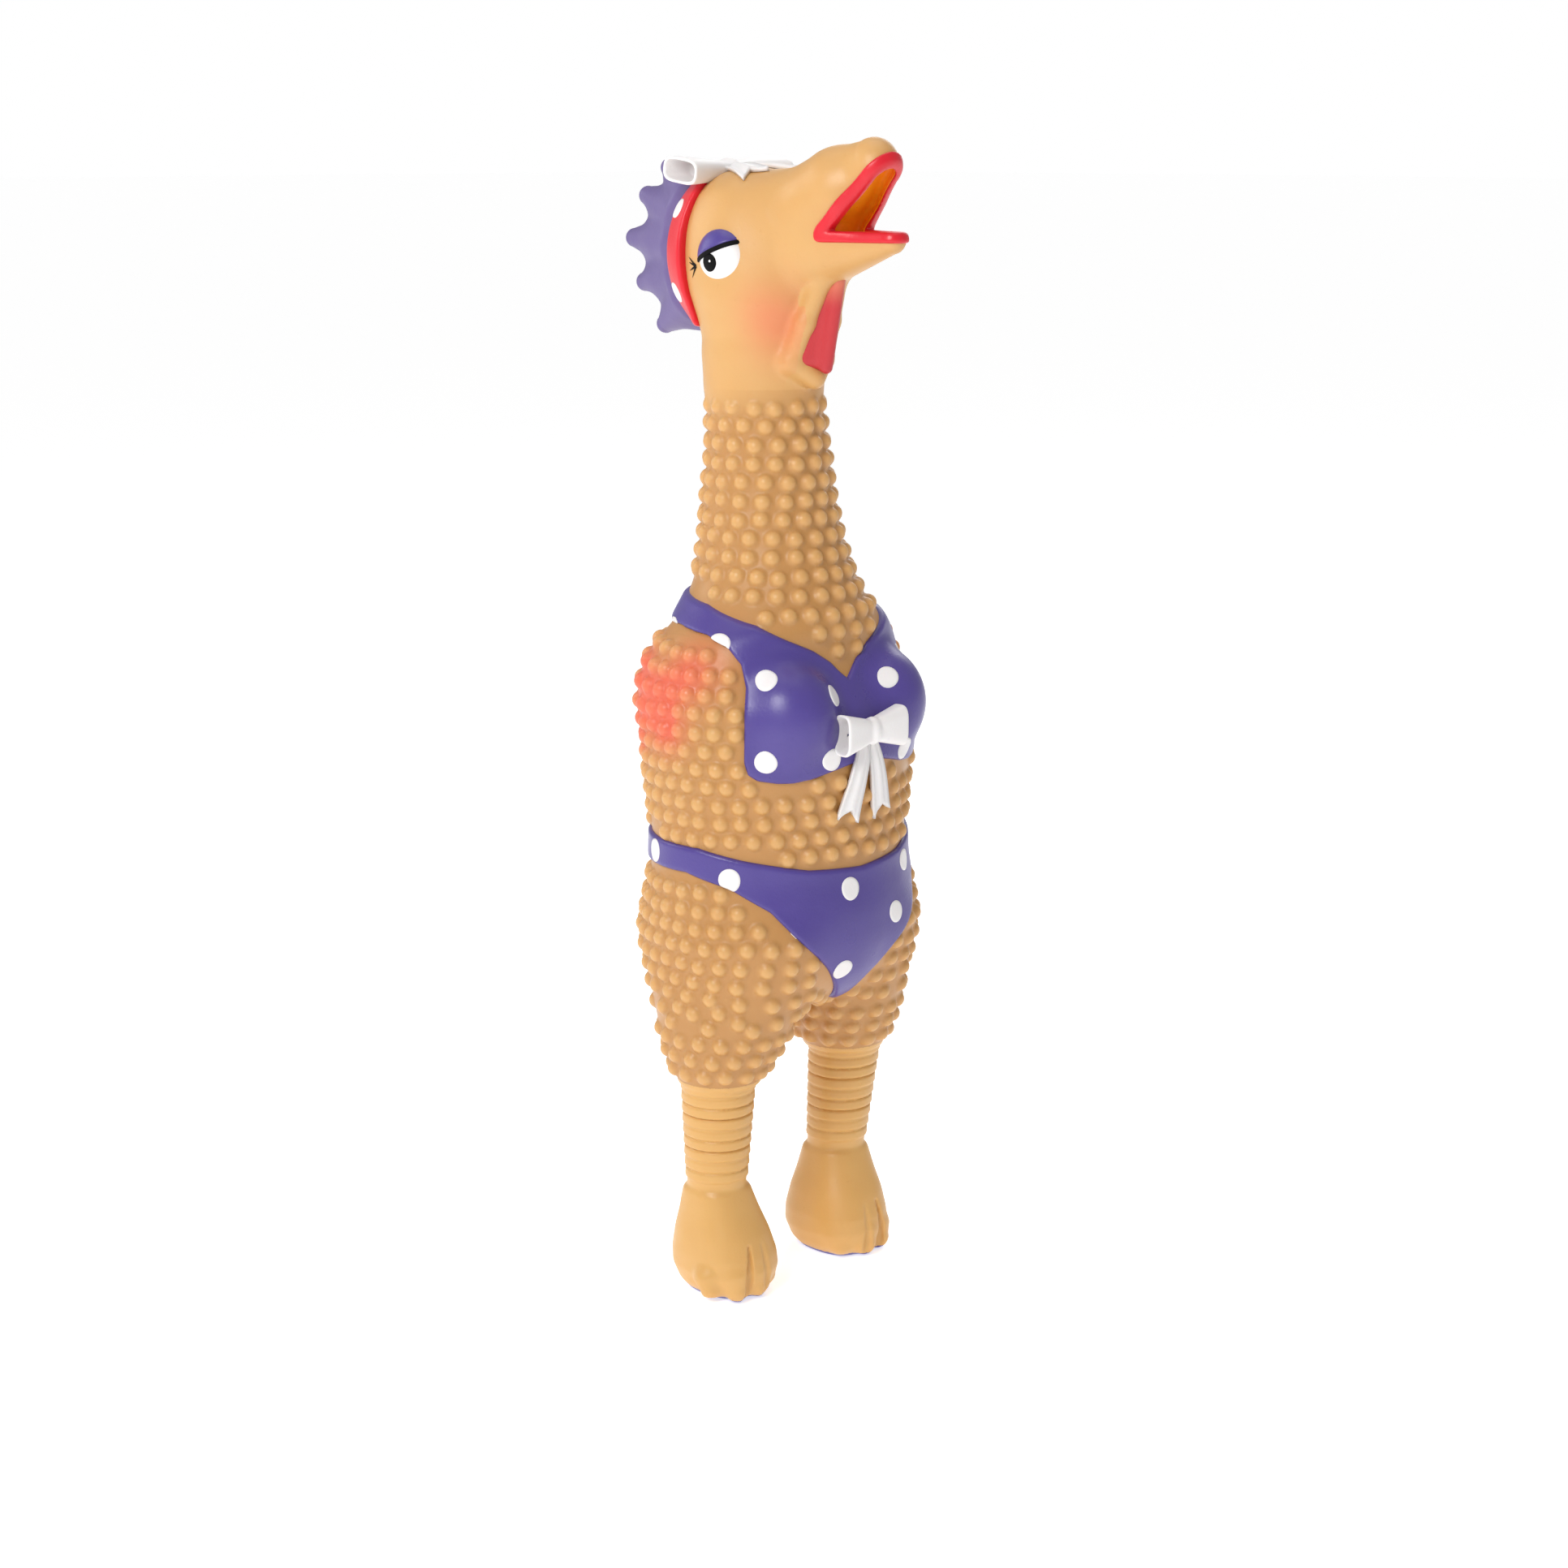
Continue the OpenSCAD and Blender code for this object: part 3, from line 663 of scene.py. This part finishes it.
def skin_piece(name, field, low, high, keep, material, walls=(), **facts):
    """One piece of the skin: the part of the surface whose faces pass keep."""
    points, quads, normals = block_surface(field, low, high, CENTRES)
    points, faces, used = divide(points, quads, keep)
    normals = normals[used]
    for edge_test, shift in walls:
        points, faces, added = with_wall(points, faces, edge_test, shift)
        normals = np.concatenate([normals, normals[-1:].repeat(added, 0)])
    obj = to_object(name, points, faces, material, normals=normals, **facts)
    paint(obj, "relief", relief_of(points))
    paint(obj, "blush", blush_of_wing(points))
    return obj


def bend(obj):
    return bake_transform(obj)


def in_wing(side):
    """Test for faces that belong to one wing panel."""
    return lambda m: (wing_distance(m) < WING_R) & (m[:, 0] * side > 28)


def round_wing(side):
    """Test for edges that lie on the outline of one wing panel."""
    return lambda m: (wing_distance(m) < WING_R + 2) & (m[:, 0] * side > 24)


WALL_DEPTH = 14.0                      # the wall round a wing panel reaches this far inwards

skin_piece("torso_latex_skin", lower_field, (-58, -52, 108), (58, 52, 256),
           lambda m: (m[:, 2] > HIP_SEAM) & (m[:, 2] < COLLAR_SEAM) & ~in_wing(RIGHT)(m) & ~in_wing(LEFT)(m),
           LATEX, [(round_wing(side), (-side * WALL_DEPTH, 0, 0)) for side in (RIGHT, LEFT)],
           body="torso", replace=["torso_skin"], slot="latex_skin")
for side, word in ((RIGHT, "right"), (LEFT, "left")):
    skin_piece(f"wing_panel_{word}", lower_field, (min(side * 24, side * 60), -22, 199),
               (max(side * 24, side * 60), 34, 253), in_wing(side), LATEX,
               walls=[(round_wing(side), (-side * WALL_DEPTH, 0, 0))],
               body=f"wing_{word}_body", replace=[f"wing_{word}"], slot="latex_skin")
neck = skin_piece("neck_latex_skin", lower_field, (-54, -44, 242), (54, 46, 303),
                  lambda m: ((m[:, 2] > COLLAR_SEAM) & (m[:, 2] < NECK_SEAM)
                             & ~in_wing(RIGHT)(m) & ~in_wing(LEFT)(m)), LATEX,
                  replace=["neck_skin"], slot="latex_skin")
bend(neck)
for side, word in ((RIGHT, "right"), (LEFT, "left")):
    def own_side(m, side=side):
        return m[:, 0] * side > 0

    box_low = (min(0, side * 58), -40, -1)
    box_high = (max(0, side * 58), 40, 114)
    points, quads, normals = block_surface(lower_field, box_low, box_high, CENTRES)
    parts = [
        ("thigh_latex_skin", KNEE_SEAM, HIP_SEAM, "torso", f"thigh_{word}_body", 109.5, 86.0, f"thigh_{word}",
         "latex_skin", LATEX),
        ("ribbed_shank_skin", ANKLE_SEAM, KNEE_SEAM, f"thigh_{word}_body", f"shank_{word}_body", 83.0, 68.0,
         f"shank_{word}", "latex_leg", LEG_LATEX),
        ("foot_latex_skin", 1.6, ANKLE_SEAM, f"shank_{word}_body", f"foot_{word}_body", 46.5, 33.0,
         f"foot_{word}", "latex_leg", LEG_LATEX),
    ]
    for name, bottom, top, upper, lower, start, end, node, slot, material in parts:
        p, f, used = divide(points, quads, lambda m: (m[:, 2] > bottom) & (m[:, 2] <= top) & own_side(m))
        obj = to_object(f"{name}_{word}", p, f, material, replace=[node], slot=slot, normals=normals[used])
        paint(obj, "relief", relief_of(p))
        paint(obj, "blush", np.zeros(len(p)))
        bend(obj)
    p, f, used = divide(points, quads, lambda m: (m[:, 2] <= 1.6) & own_side(m))
    to_object(f"sole_paint_{word}", p, f, PURPLE, body=f"foot_{word}_body", replace=[f"sole_{word}"],
              slot="purple_paint", normals=normals[used])

# ---- bikini ----
from_field("bikini_top_panel", near_skin(bikini_top), (-54, -50, 198), (54, 40, 266), PURPLE,
           body="torso", replace=["bikini_top"], slot="purple_paint")
from_field("bikini_bottom_panel", near_skin(bikini_bottom), (-58, -48, 108), (58, 48, 180), PURPLE,
           body="torso", replace=["bikini_bottom"], slot="purple_paint")



# ---- head, beak and mouth ----
def middle(y, z):
    """Height above the plane that halves the open mouth."""
    return z - MOUTH[2] - math.tan(GAPE / 2) * np.maximum(MOUTH[1] - y, 0.0)


def in_jaw(m):
    """Faces of the lower beak."""
    return (m[:, 1] < -27.0) & (middle(m[:, 1], m[:, 2]) < 0) & (m[:, 2] > 366)


def lip_zone(x, y, z):
    """Band round the mouth's edge, rounded behind the corners."""
    zone = smax(above_mouth(y, z) - LIP_WIDE, MOUTH[2] - LIP_WIDE - z, 5.0)
    return smax(zone, y - MOUTH[1] - 5.0, 3.0)


def lips(x, y, z):
    """Both lips: a raised band that follows the edge of the beak."""
    outer = smin(upper_beak(x, y, z), lower_beak(x, y, z), 7.0)
    raised = smin(outer, head(x, y, z), 0.5) - 0.9
    band = smax(smax(raised, lip_zone(x, y, z), 1.2), -gape(x, y, z) - 0.3, 1.2)
    return smax(band, -mouth_room(x, y, z) - 0.1, 1.0)


def lining(x, y, z):
    """Painted lining of the mouth."""
    room = mouth_room(x, y, z)
    return smax(np.maximum(room - 0.5, -room - 0.45), 0.5 - gape(x, y, z), 0.6)


HEAD_LOW, HEAD_HIGH = (-32, -66, 297), (32, 44, 424)

points, quads, normals = block_surface(head_skin, HEAD_LOW, HEAD_HIGH, CENTRES)


def cheek_blush(p):
    """Soft red behind the wattle's fold."""
    d = np.hypot((p[:, 1] + 13) / 11.0, (p[:, 2] - 360) / 15.0)
    return np.clip(0.42 * np.exp(-d * d * 1.3), 0, 0.4) * (np.abs(p[:, 0]) > 9)


p, f, used = divide(points, quads, lambda m: (m[:, 2] > NECK_SEAM) & ~in_jaw(m))
skull_piece = to_object("head_latex_skin", p, f, LATEX, replace=["head_skin"], slot="latex_skin",
                        normals=normals[used])
paint(skull_piece, "relief", np.where(p[:, 2] < 336, relief_of(p), 1.5))
paint(skull_piece, "blush", cheek_blush(p))
bend(skull_piece)
p, f, used = divide(points, quads, lambda m: (m[:, 2] > NECK_SEAM) & in_jaw(m))
jaw_piece = to_object("lower_beak_latex_skin", p, f, LATEX, replace=["lower_beak"], slot="latex_skin",
                      normals=normals[used])
paint(jaw_piece, "relief", np.full(len(p), 1.5))
paint(jaw_piece, "blush", np.zeros(len(p)))
bend(jaw_piece)


def two_halves(field, names, material, nodes, slot):
    """Pieces of the mouth above and below the plane that halves it."""
    x, y, z, first = axes((-24, -66, 368), (24, -10, 424), STEP * 0.75)
    points, quads = polygons(field(x, y, z), first, STEP * 0.75)
    normals = point_normals(points, quads)
    for name, node, upper in zip(names, nodes, (True, False)):
        p, f, used = divide(points, quads, lambda m: (middle(m[:, 1], m[:, 2]) > 0) == upper)
        obj = to_object(name, p, f, material, replace=[node], slot=slot, normals=normals[used])
        depth = soft_step(-p[:, 1], 36, 54)
        paint(obj, "blush", depth * 0.45)
        if upper:
            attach(obj, "head")
        else:
            bend(obj)


two_halves(lips, ("upper_lip_paint", "lower_lip_paint"), RED, ("upper_lip", "lower_lip"), "red_paint")
two_halves(lining, ("upper_mouth_paint", "lower_mouth_paint"), ORANGE,
           ("upper_mouth_lining", "lower_mouth_lining"), "orange_paint")

wattle_piece = from_field("wattle_paint", wattle, (-18, -38, 336), (18, -6, 382), WATTLE_RED, body="head",
                          replace=["wattle"], slot="red_paint")
spots = np.array([v.co for v in wattle_piece.data.vertices]) * 1000
paint(wattle_piece, "blush", soft_step(spots[:, 2], 364, 376) * 0.8)


# ---- headband and comb ----
BAND_Y = 29.5
COMB_TIPS = [(61, 413.5), (73, 403), (80.6, 387), (75, 370.5), (64, 355)]


def band(x, y, z):
    """Headband round the back of the head, from the crown to the nape."""
    middle_y = BAND_Y - 0.004 * (z - 382) ** 2
    under = egg(x, y, z, (0, 17, 383), (25.5, 30, 29.5))
    sheet_skin = smin(under, head(x, y, z), 3.0) - 2.0
    return smax(smax(sheet_skin, np.abs(y - middle_y) - 5.8, 2.0), np.maximum(357.0 - z, z - 411.0), 2.0)


def comb(x, y, z):
    """Comb: a fan of five blunt spikes."""
    fan = egg(x, y, z, (0, 40, 384), (8.5, 30, 30))
    for ty, tz in COMB_TIPS:
        root = (0, 34 + (ty - 34) * 0.35, 384 + (tz - 384) * 0.62)
        fan = smin(fan, cone(x, y, z, root, (0, ty - 4.2, 384 + (tz - 384) * 0.97), 11.5, 3.6), 2.5)
    return smax(fan, BAND_Y - 2 - y, 1.5)


from_field("headband_paint", band, (-30, 14, 346), (30, 46, 422), RED, body="head",
           replace=["headband"], slot="red_paint")
from_field("comb_paint", comb, (-14, 28, 344), (14, 79, 420), COMB_PAINT, body="head",
           replace=["comb"], slot="comb_paint")

# ---- eyes ----
EYE = (22.6, 5.4, 382.4)
EYE_R = (6.9, 10.0, 9.8)
LID_SLOPE = math.tan(math.radians(22))


def lid_height(y, z):
    """Height above the edge of the upper lid, which rises towards the beak."""
    return (z - EYE[2] - 1.6 + (y - EYE[1]) * LID_SLOPE) * math.cos(math.radians(22))


def eye_white(x, y, z):
    """White of both eyes, up to the lid."""
    return smax(egg(np.abs(x), y, z, EYE, EYE_R), lid_height(y, z) - 0.5, 0.6)


def lid(x, y, z):
    """Both upper lids, a little thicker than the eye."""
    return smax(egg(np.abs(x), y, z, EYE, [r + 0.6 for r in EYE_R]), 0.9 - lid_height(y, z), 0.9)


def liner(x, y, z):
    """Black line along the edge of both lids."""
    raised = egg(np.abs(x), y, z, EYE, [r + 0.75 for r in EYE_R])
    return smax(raised, np.abs(lid_height(y, z) - 0.4) - 0.85, 0.6)


for side, word in ((RIGHT, "right"), (LEFT, "left")):
    box_low, box_high = (min(side * 12, side * 32), -8, 370), (max(side * 12, side * 32), 20, 396)
    from_field(f"eye_white_{word}", eye_white, box_low, box_high, WHITE, step=0.4, body="head",
               replace=[f"eye_{word}"], slot="white_paint")
    from_field(f"upper_eyelid_{word}", lid, box_low, box_high, PURPLE, step=0.4, body="head",
               replace=[f"eyelid_{word}"], slot="purple_paint")
    from_field(f"eyeliner_{word}", liner, box_low, box_high, BLACK, step=0.35, body="head",
               slot="purple_paint")


# ---- painted dots, pupils with a painted highlight, and bows, laid on the surfaces below them ----
def patch(field, centre, outline, lift=0.28, rings=5, turns=28, skirt=0.5):
    """Thin painted patch: outline(angle) is its radius; it follows the surface and has a rounded rim."""
    centre = onto(field, np.array([centre], float))
    n = field_normals(field, centre)[0]
    across = np.cross((0, 0, 1), n)
    across /= np.linalg.norm(across)
    up = np.cross(n, across)
    angles = np.arange(turns) / turns * 2 * math.pi
    flat = [centre[0]]
    for share in [*(np.arange(1, rings + 1) / rings), 1.05]:
        for a in angles:
            r = outline(a) * share
            flat.append(centre[0] + (across * math.cos(a) + up * math.sin(a)) * r)
    points = onto(field, np.array(flat))
    heights = np.concatenate([[lift], np.repeat([*[lift] * (rings - 1), lift * 0.75, -skirt], turns)])
    points += field_normals(field, points) * heights[:, None]
    faces = [(0, 1 + i, 1 + (i + 1) % turns) for i in range(turns)]
    for ring in range(rings):
        a, b = 1 + ring * turns, 1 + (ring + 1) * turns
        faces += [(a + i, b + i, b + (i + 1) % turns, a + (i + 1) % turns) for i in range(turns)]
    return points, faces


def join(parts):
    """Several point and face lists as one."""
    points, faces, start = [], [], 0
    for p, f in parts:
        points.append(p)
        faces += [tuple(i + start for i in face) for face in f]
        start += len(p)
    return np.concatenate(points), faces


def round_dot(r):
    """Outline of a hand-painted dot."""
    a, b = rng.uniform(0, 6.28, 2)
    return lambda t: r * (1 + 0.03 * math.cos(2 * t + a) + 0.02 * math.cos(3 * t + b))


def on_body(angle, z):
    """Point near the trunk's skin at an angle from the front, positive to the toy's right."""
    a = math.radians(angle)
    return (-50 * math.sin(a), -42 * math.cos(a), z)


TOP_DOTS = [(70, 255.0), (46, 237.5), (16, 230.0), (-18, 233), (46, 209), (19, 208), (-26, 207), (-50, 238),
            (-50, 209), (-77, 255.3), (118, 257.5), (-118, 257.5), (160, 257.5), (-160, 257.5)]
BOTTOM_DOTS = [(107, 170.7), (62, 165.3), (8, 158.5), (-19, 145.5), (32, 146), (10, 128), (-33, 162),
               (-62, 165.3), (-107, 170.7), (150, 170.8), (-150, 170.8)]
p, f = join([patch(bikini_top, on_body(a, z), round_dot(DOT_R)) for a, z in TOP_DOTS])
to_object("bikini_top_dots", p, f, WHITE, body="torso", slot="white_paint")
p, f = join([patch(bikini_bottom, on_body(a, z), round_dot(DOT_R)) for a, z in BOTTOM_DOTS])
to_object("bikini_bottom_dots", p, f, WHITE, body="torso", slot="white_paint")
band_dots = []
for angle in (-33, 33, 147, 213, 270):
    a = math.radians(angle)
    band_dots.append(patch(band, (-24 * math.cos(a), BAND_Y, 384 + 26 * math.sin(a)), round_dot(3.8)))
p, f = join(band_dots)
to_object("headband_dots", p, f, WHITE, body="head", slot="white_paint")

for side, word in ((RIGHT, "right"), (LEFT, "left")):
    look = (side * 29, 5.6, 380.6)
    p, f = patch(eye_white, look, round_dot(3.3), lift=0.22, skirt=0.3)
    to_object(f"pupil_{word}", p, f, BLACK, body="head", slot="purple_paint")
    # Painted highlight: a tiny white glint on each pupil, a little above and in front of its middle.
    p, f = patch(eye_white, (side * 29, 5.0, 381.2), round_dot(0.45), lift=0.36, skirt=0.1)
    to_object(f"pupil_painted_highlight_{word}", p, f, WHITE, body="head", slot="white_paint")


def ribbon(path, widths, lift, thick, field, notch=0.0, steps=16, across=8):
    """Flat ribbon laid along a path of points; its far end has a V-shaped notch of the given depth."""
    path = np.array(path, float)
    t = np.linspace(0, len(path) - 1, steps + 1)
    line = np.stack([np.interp(t, np.arange(len(path)), path[:, i]) for i in range(3)], 1)
    wide = np.interp(t, np.arange(len(path)), widths)
    ahead = np.gradient(line, axis=0)
    ahead /= np.linalg.norm(ahead, axis=1, keepdims=True)
    n = field_normals(field, onto(field, line))
    side_way = np.cross(n, ahead)
    side_way /= np.linalg.norm(side_way, axis=1, keepdims=True)
    rows = []
    for i in range(steps + 1):
        v = np.linspace(-1, 1, across + 1)
        cut = -notch * (1 - np.abs(v)) * (i / steps) ** 3
        rows.append(line[i] + side_way[i] * (v * wide[i] / 2)[:, None] + ahead[i] * cut[:, None])
    flat = onto(field, np.array(rows).reshape(-1, 3))
    n = field_normals(field, flat)
    fold = 0.5 * np.cos(np.tile(np.linspace(-1, 1, across + 1), steps + 1) * 5.0)
    upper = flat + n * (lift + thick + fold)[:, None]
    lower = flat + n * (lift - 0.8)
    w, count = across + 1, len(flat)
    quads = [(r * w + c, r * w + c + 1, (r + 1) * w + c + 1, (r + 1) * w + c)
             for r in range(steps) for c in range(across)]
    rim = [r * w for r in range(steps + 1)] + [steps * w + c for c in range(1, w)]
    rim += [r * w + across for r in range(steps - 1, -1, -1)] + list(range(across - 1, 0, -1))
    faces = quads + [tuple(count + i for i in q[::-1]) for q in quads]
    faces += [(a, b, count + b, count + a) for a, b in zip(rim, rim[1:] + rim[:1])]
    return np.concatenate([upper, lower]), faces


def bow(x, y, z, centre, half, depth, tall, turn):
    """Two puffed loops with open ends and a knot, seen along +Y before it is turned about the X axis."""
    c, s = math.cos(turn), math.sin(turn)
    px = x - centre[0]
    py = (y - centre[1]) * c + (z - centre[2]) * s
    pz = -(y - centre[1]) * s + (z - centre[2]) * c
    ax = np.abs(px)
    grow = np.clip(ax / half, 0.0, 1.0)
    high = tall * (0.26 + 0.26 * grow)
    thick = depth * (0.28 + 0.30 * np.sqrt(grow))
    q = np.sqrt(np.abs(pz / high) ** 4 + np.abs(py / thick) ** 3.0 + 1e-6)
    loops = smax((q - 1.0) * np.minimum(high, thick) * 0.6, ax - half, 1.0)
    hollow = np.sqrt(np.abs(pz / (high - 1.1)) ** 4 + np.abs(py / (thick - 1.1)) ** 3.0 + 1e-6)
    loops = smax(loops, -smax((hollow - 1.0) * np.minimum(high, thick) * 0.6, half * 0.55 - ax, 0.5), 0.5)
    crease = np.abs(pz + 0.1 * ax) - 0.35
    loops = smax(loops, -np.maximum(crease, np.maximum(ax - half * 0.6, -py - thick * 0.2)), 0.6)
    knot = egg(px, py, pz, (0, -0.4, 0), (tall * 0.22, depth * 0.48, tall * 0.34))
    return smin(loops, knot, 0.8)


def chest_bow(x, y, z):
    """Bow between the cups."""
    return bow(x, y, z, (0, -46.5, 216.5), 15.5, 7.5, 15.0, 0.0)


def crown_bow(x, y, z):
    """Bow on the crown, which lies flat on the headband."""
    return bow(x, y, z, (0, 25.5, 412.0), 25.0, 8.0, 17.0, math.radians(-82))


from_field("chest_bow_loops", chest_bow, (-19, -54, 206), (19, -39, 227), WHITE, step=0.45,
           body="torso", replace=["chest_bow"], slot="white_paint")
tails = [ribbon([(s * 1.5, -45, 213), (s * 5.0, -45, 200), (s * 9.0, -44, 184)], [5.0, 7.0, 9.5], 2.0, 1.1,
                skin_plain, notch=4.5) for s in (-1, 1)]
p, f = join(tails)
to_object("chest_bow_tails", p, f, WHITE, body="torso", slot="white_paint")
from_field("head_bow_loops", crown_bow, (-29, 14, 404), (29, 38, 419), WHITE, step=0.5,
           body="head", replace=["head_bow"], slot="white_paint")
tails = [ribbon([(s * 3.0, 20, 412), (s * 7.5, 11, 413), (s * 12.0, 0, 412)], [6.0, 8.5, 10.5], 1.0, 0.9,
                head, notch=5.0) for s in (-1, 1)]
p, f = join(tails)
to_object("head_bow_tails", p, f, WHITE, body="head", slot="white_paint")
for side, word in ((RIGHT, "right"), (LEFT, "left")):
    points, faces = [], []
    for i, (dy, dz) in enumerate(((4.6, 1.2), (4.2, -1.6), (2.6, -4.0), (5.0, 3.0))):
        root = np.array([side * 25.6, 14.6, 379.0])
        tip = root + (side * -1.5, dy, dz)
        line = onto(head, np.linspace(root, tip, 5))
        n = field_normals(head, line)
        way = np.cross(n, tip - root)
        way /= np.linalg.norm(way, axis=1, keepdims=True)
        wide = np.array([0.5, 0.45, 0.35, 0.22, 0.08])[:, None]
        strip = np.concatenate([line + way * wide + n * 0.15, line - way * wide + n * 0.15])
        quads = [(j, j + 1, j + 6, j + 5) for j in range(4)]
        faces += [tuple(len(points) * 10 + k for k in q) for q in quads]
        points.append(strip)
    to_object(f"lashes_{word}", np.concatenate(points), faces, BLACK, body="head", slot="purple_paint")

# ---- the hard parts inside, shown as the CAD model draws them ----
for name in ("squeaker_housing", "squeaker_ring", "reed_holder", "reed_tongue"):
    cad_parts[name].material_slots[0].material = PLASTIC


# ---- floor, light and camera ----
FLOOR_GLOW = 0.6                       # lifts the pale floor to the white of the backdrop
AMBIENT = 0.42                         # strength of the light from all round


def sheet(name, size, colour):
    """Pale floor with a soft, even finish that glows a little."""
    mesh = bpy.data.meshes.new(name)
    corners = [(-size, -size, 0), (size, -size, 0), (size, size, 0), (-size, size, 0)]
    mesh.from_pydata(corners, [], [(0, 1, 2, 3)])
    obj = bpy.data.objects.new(name, mesh)
    bpy.context.scene.collection.objects.link(obj)
    m = bpy.data.materials.new("floor_finish")
    m.use_nodes = True
    shader = m.node_tree.nodes["Principled BSDF"]
    shader.inputs["Base Color"].default_value = colour
    shader.inputs["Roughness"].default_value = 0.55
    shader.inputs["Emission Color"].default_value = (1, 1, 1, 1)
    shader.inputs["Emission Strength"].default_value = FLOOR_GLOW
    mesh.materials.append(m)
    return obj


def lamp(name, place, size, power, aim=(0, 0, 0.2)):
    """Square soft box that faces the toy."""
    data = bpy.data.lights.new(name, "AREA")
    data.size = size
    data.energy = power
    obj = bpy.data.objects.new(name, data)
    bpy.context.scene.collection.objects.link(obj)
    obj.location = place
    from_here = Vector(aim) - Vector(place)
    obj.rotation_euler = from_here.to_track_quat("-Z", "Y").to_euler()
    return obj


sheet("floor", 30.0, (0.92, 0.92, 0.92, 1))
world = bpy.data.worlds.new("studio")
bpy.context.scene.world = world
world.use_nodes = True
tree = world.node_tree
ambient = tree.nodes["Background"]
ambient.inputs["Color"].default_value = (1, 1, 1, 1)
ambient.inputs["Strength"].default_value = AMBIENT
backdrop = tree.nodes.new("ShaderNodeBackground")
backdrop.inputs["Color"].default_value = (1, 1, 1, 1)
backdrop.inputs["Strength"].default_value = 1.0
rays = tree.nodes.new("ShaderNodeLightPath")
blend = tree.nodes.new("ShaderNodeMixShader")
tree.links.new(rays.outputs["Is Camera Ray"], blend.inputs["Fac"])
tree.links.new(ambient.outputs["Background"], blend.inputs[1])
tree.links.new(backdrop.outputs["Background"], blend.inputs[2])
tree.links.new(blend.outputs["Shader"], tree.nodes["World Output"].inputs["Surface"])
lamp("key_light", (-0.8, -0.25, 0.75), 0.4, 5.6)
lamp("back_left_light", (-0.5, 0.9, 0.7), 0.6, 2.6)
lamp("back_right_light", (0.9, 0.5, 0.8), 0.7, 3.0)
lamp("top_light", (0.1, 0.1, 1.7), 1.2, 5.6)

CAMERA_AZ = math.radians(-45.0)
CAMERA_PITCH = math.radians(12.75)
CAMERA_AWAY = 1.028                    # from the body's axis, in m
CAMERA_HEIGHT = 0.422                  # in m
ASIDE = 0.0016                         # how far the camera stands to the right, in m
data = bpy.data.cameras.new("camera")
data.lens = 65.2
data.sensor_width = 36.0
data.clip_start = 0.05
camera = bpy.data.objects.new("camera", data)
bpy.context.scene.collection.objects.link(camera)
camera.location = (math.sin(CAMERA_AZ) * CAMERA_AWAY + math.cos(CAMERA_AZ) * ASIDE,
                   -math.cos(CAMERA_AZ) * CAMERA_AWAY + math.sin(CAMERA_AZ) * ASIDE + AXIS_Y / 1000,
                   CAMERA_HEIGHT)
camera.rotation_euler = (math.pi / 2 - CAMERA_PITCH, 0, CAMERA_AZ)
bpy.context.scene.camera = camera
bpy.context.scene.view_settings.view_transform = "Standard"
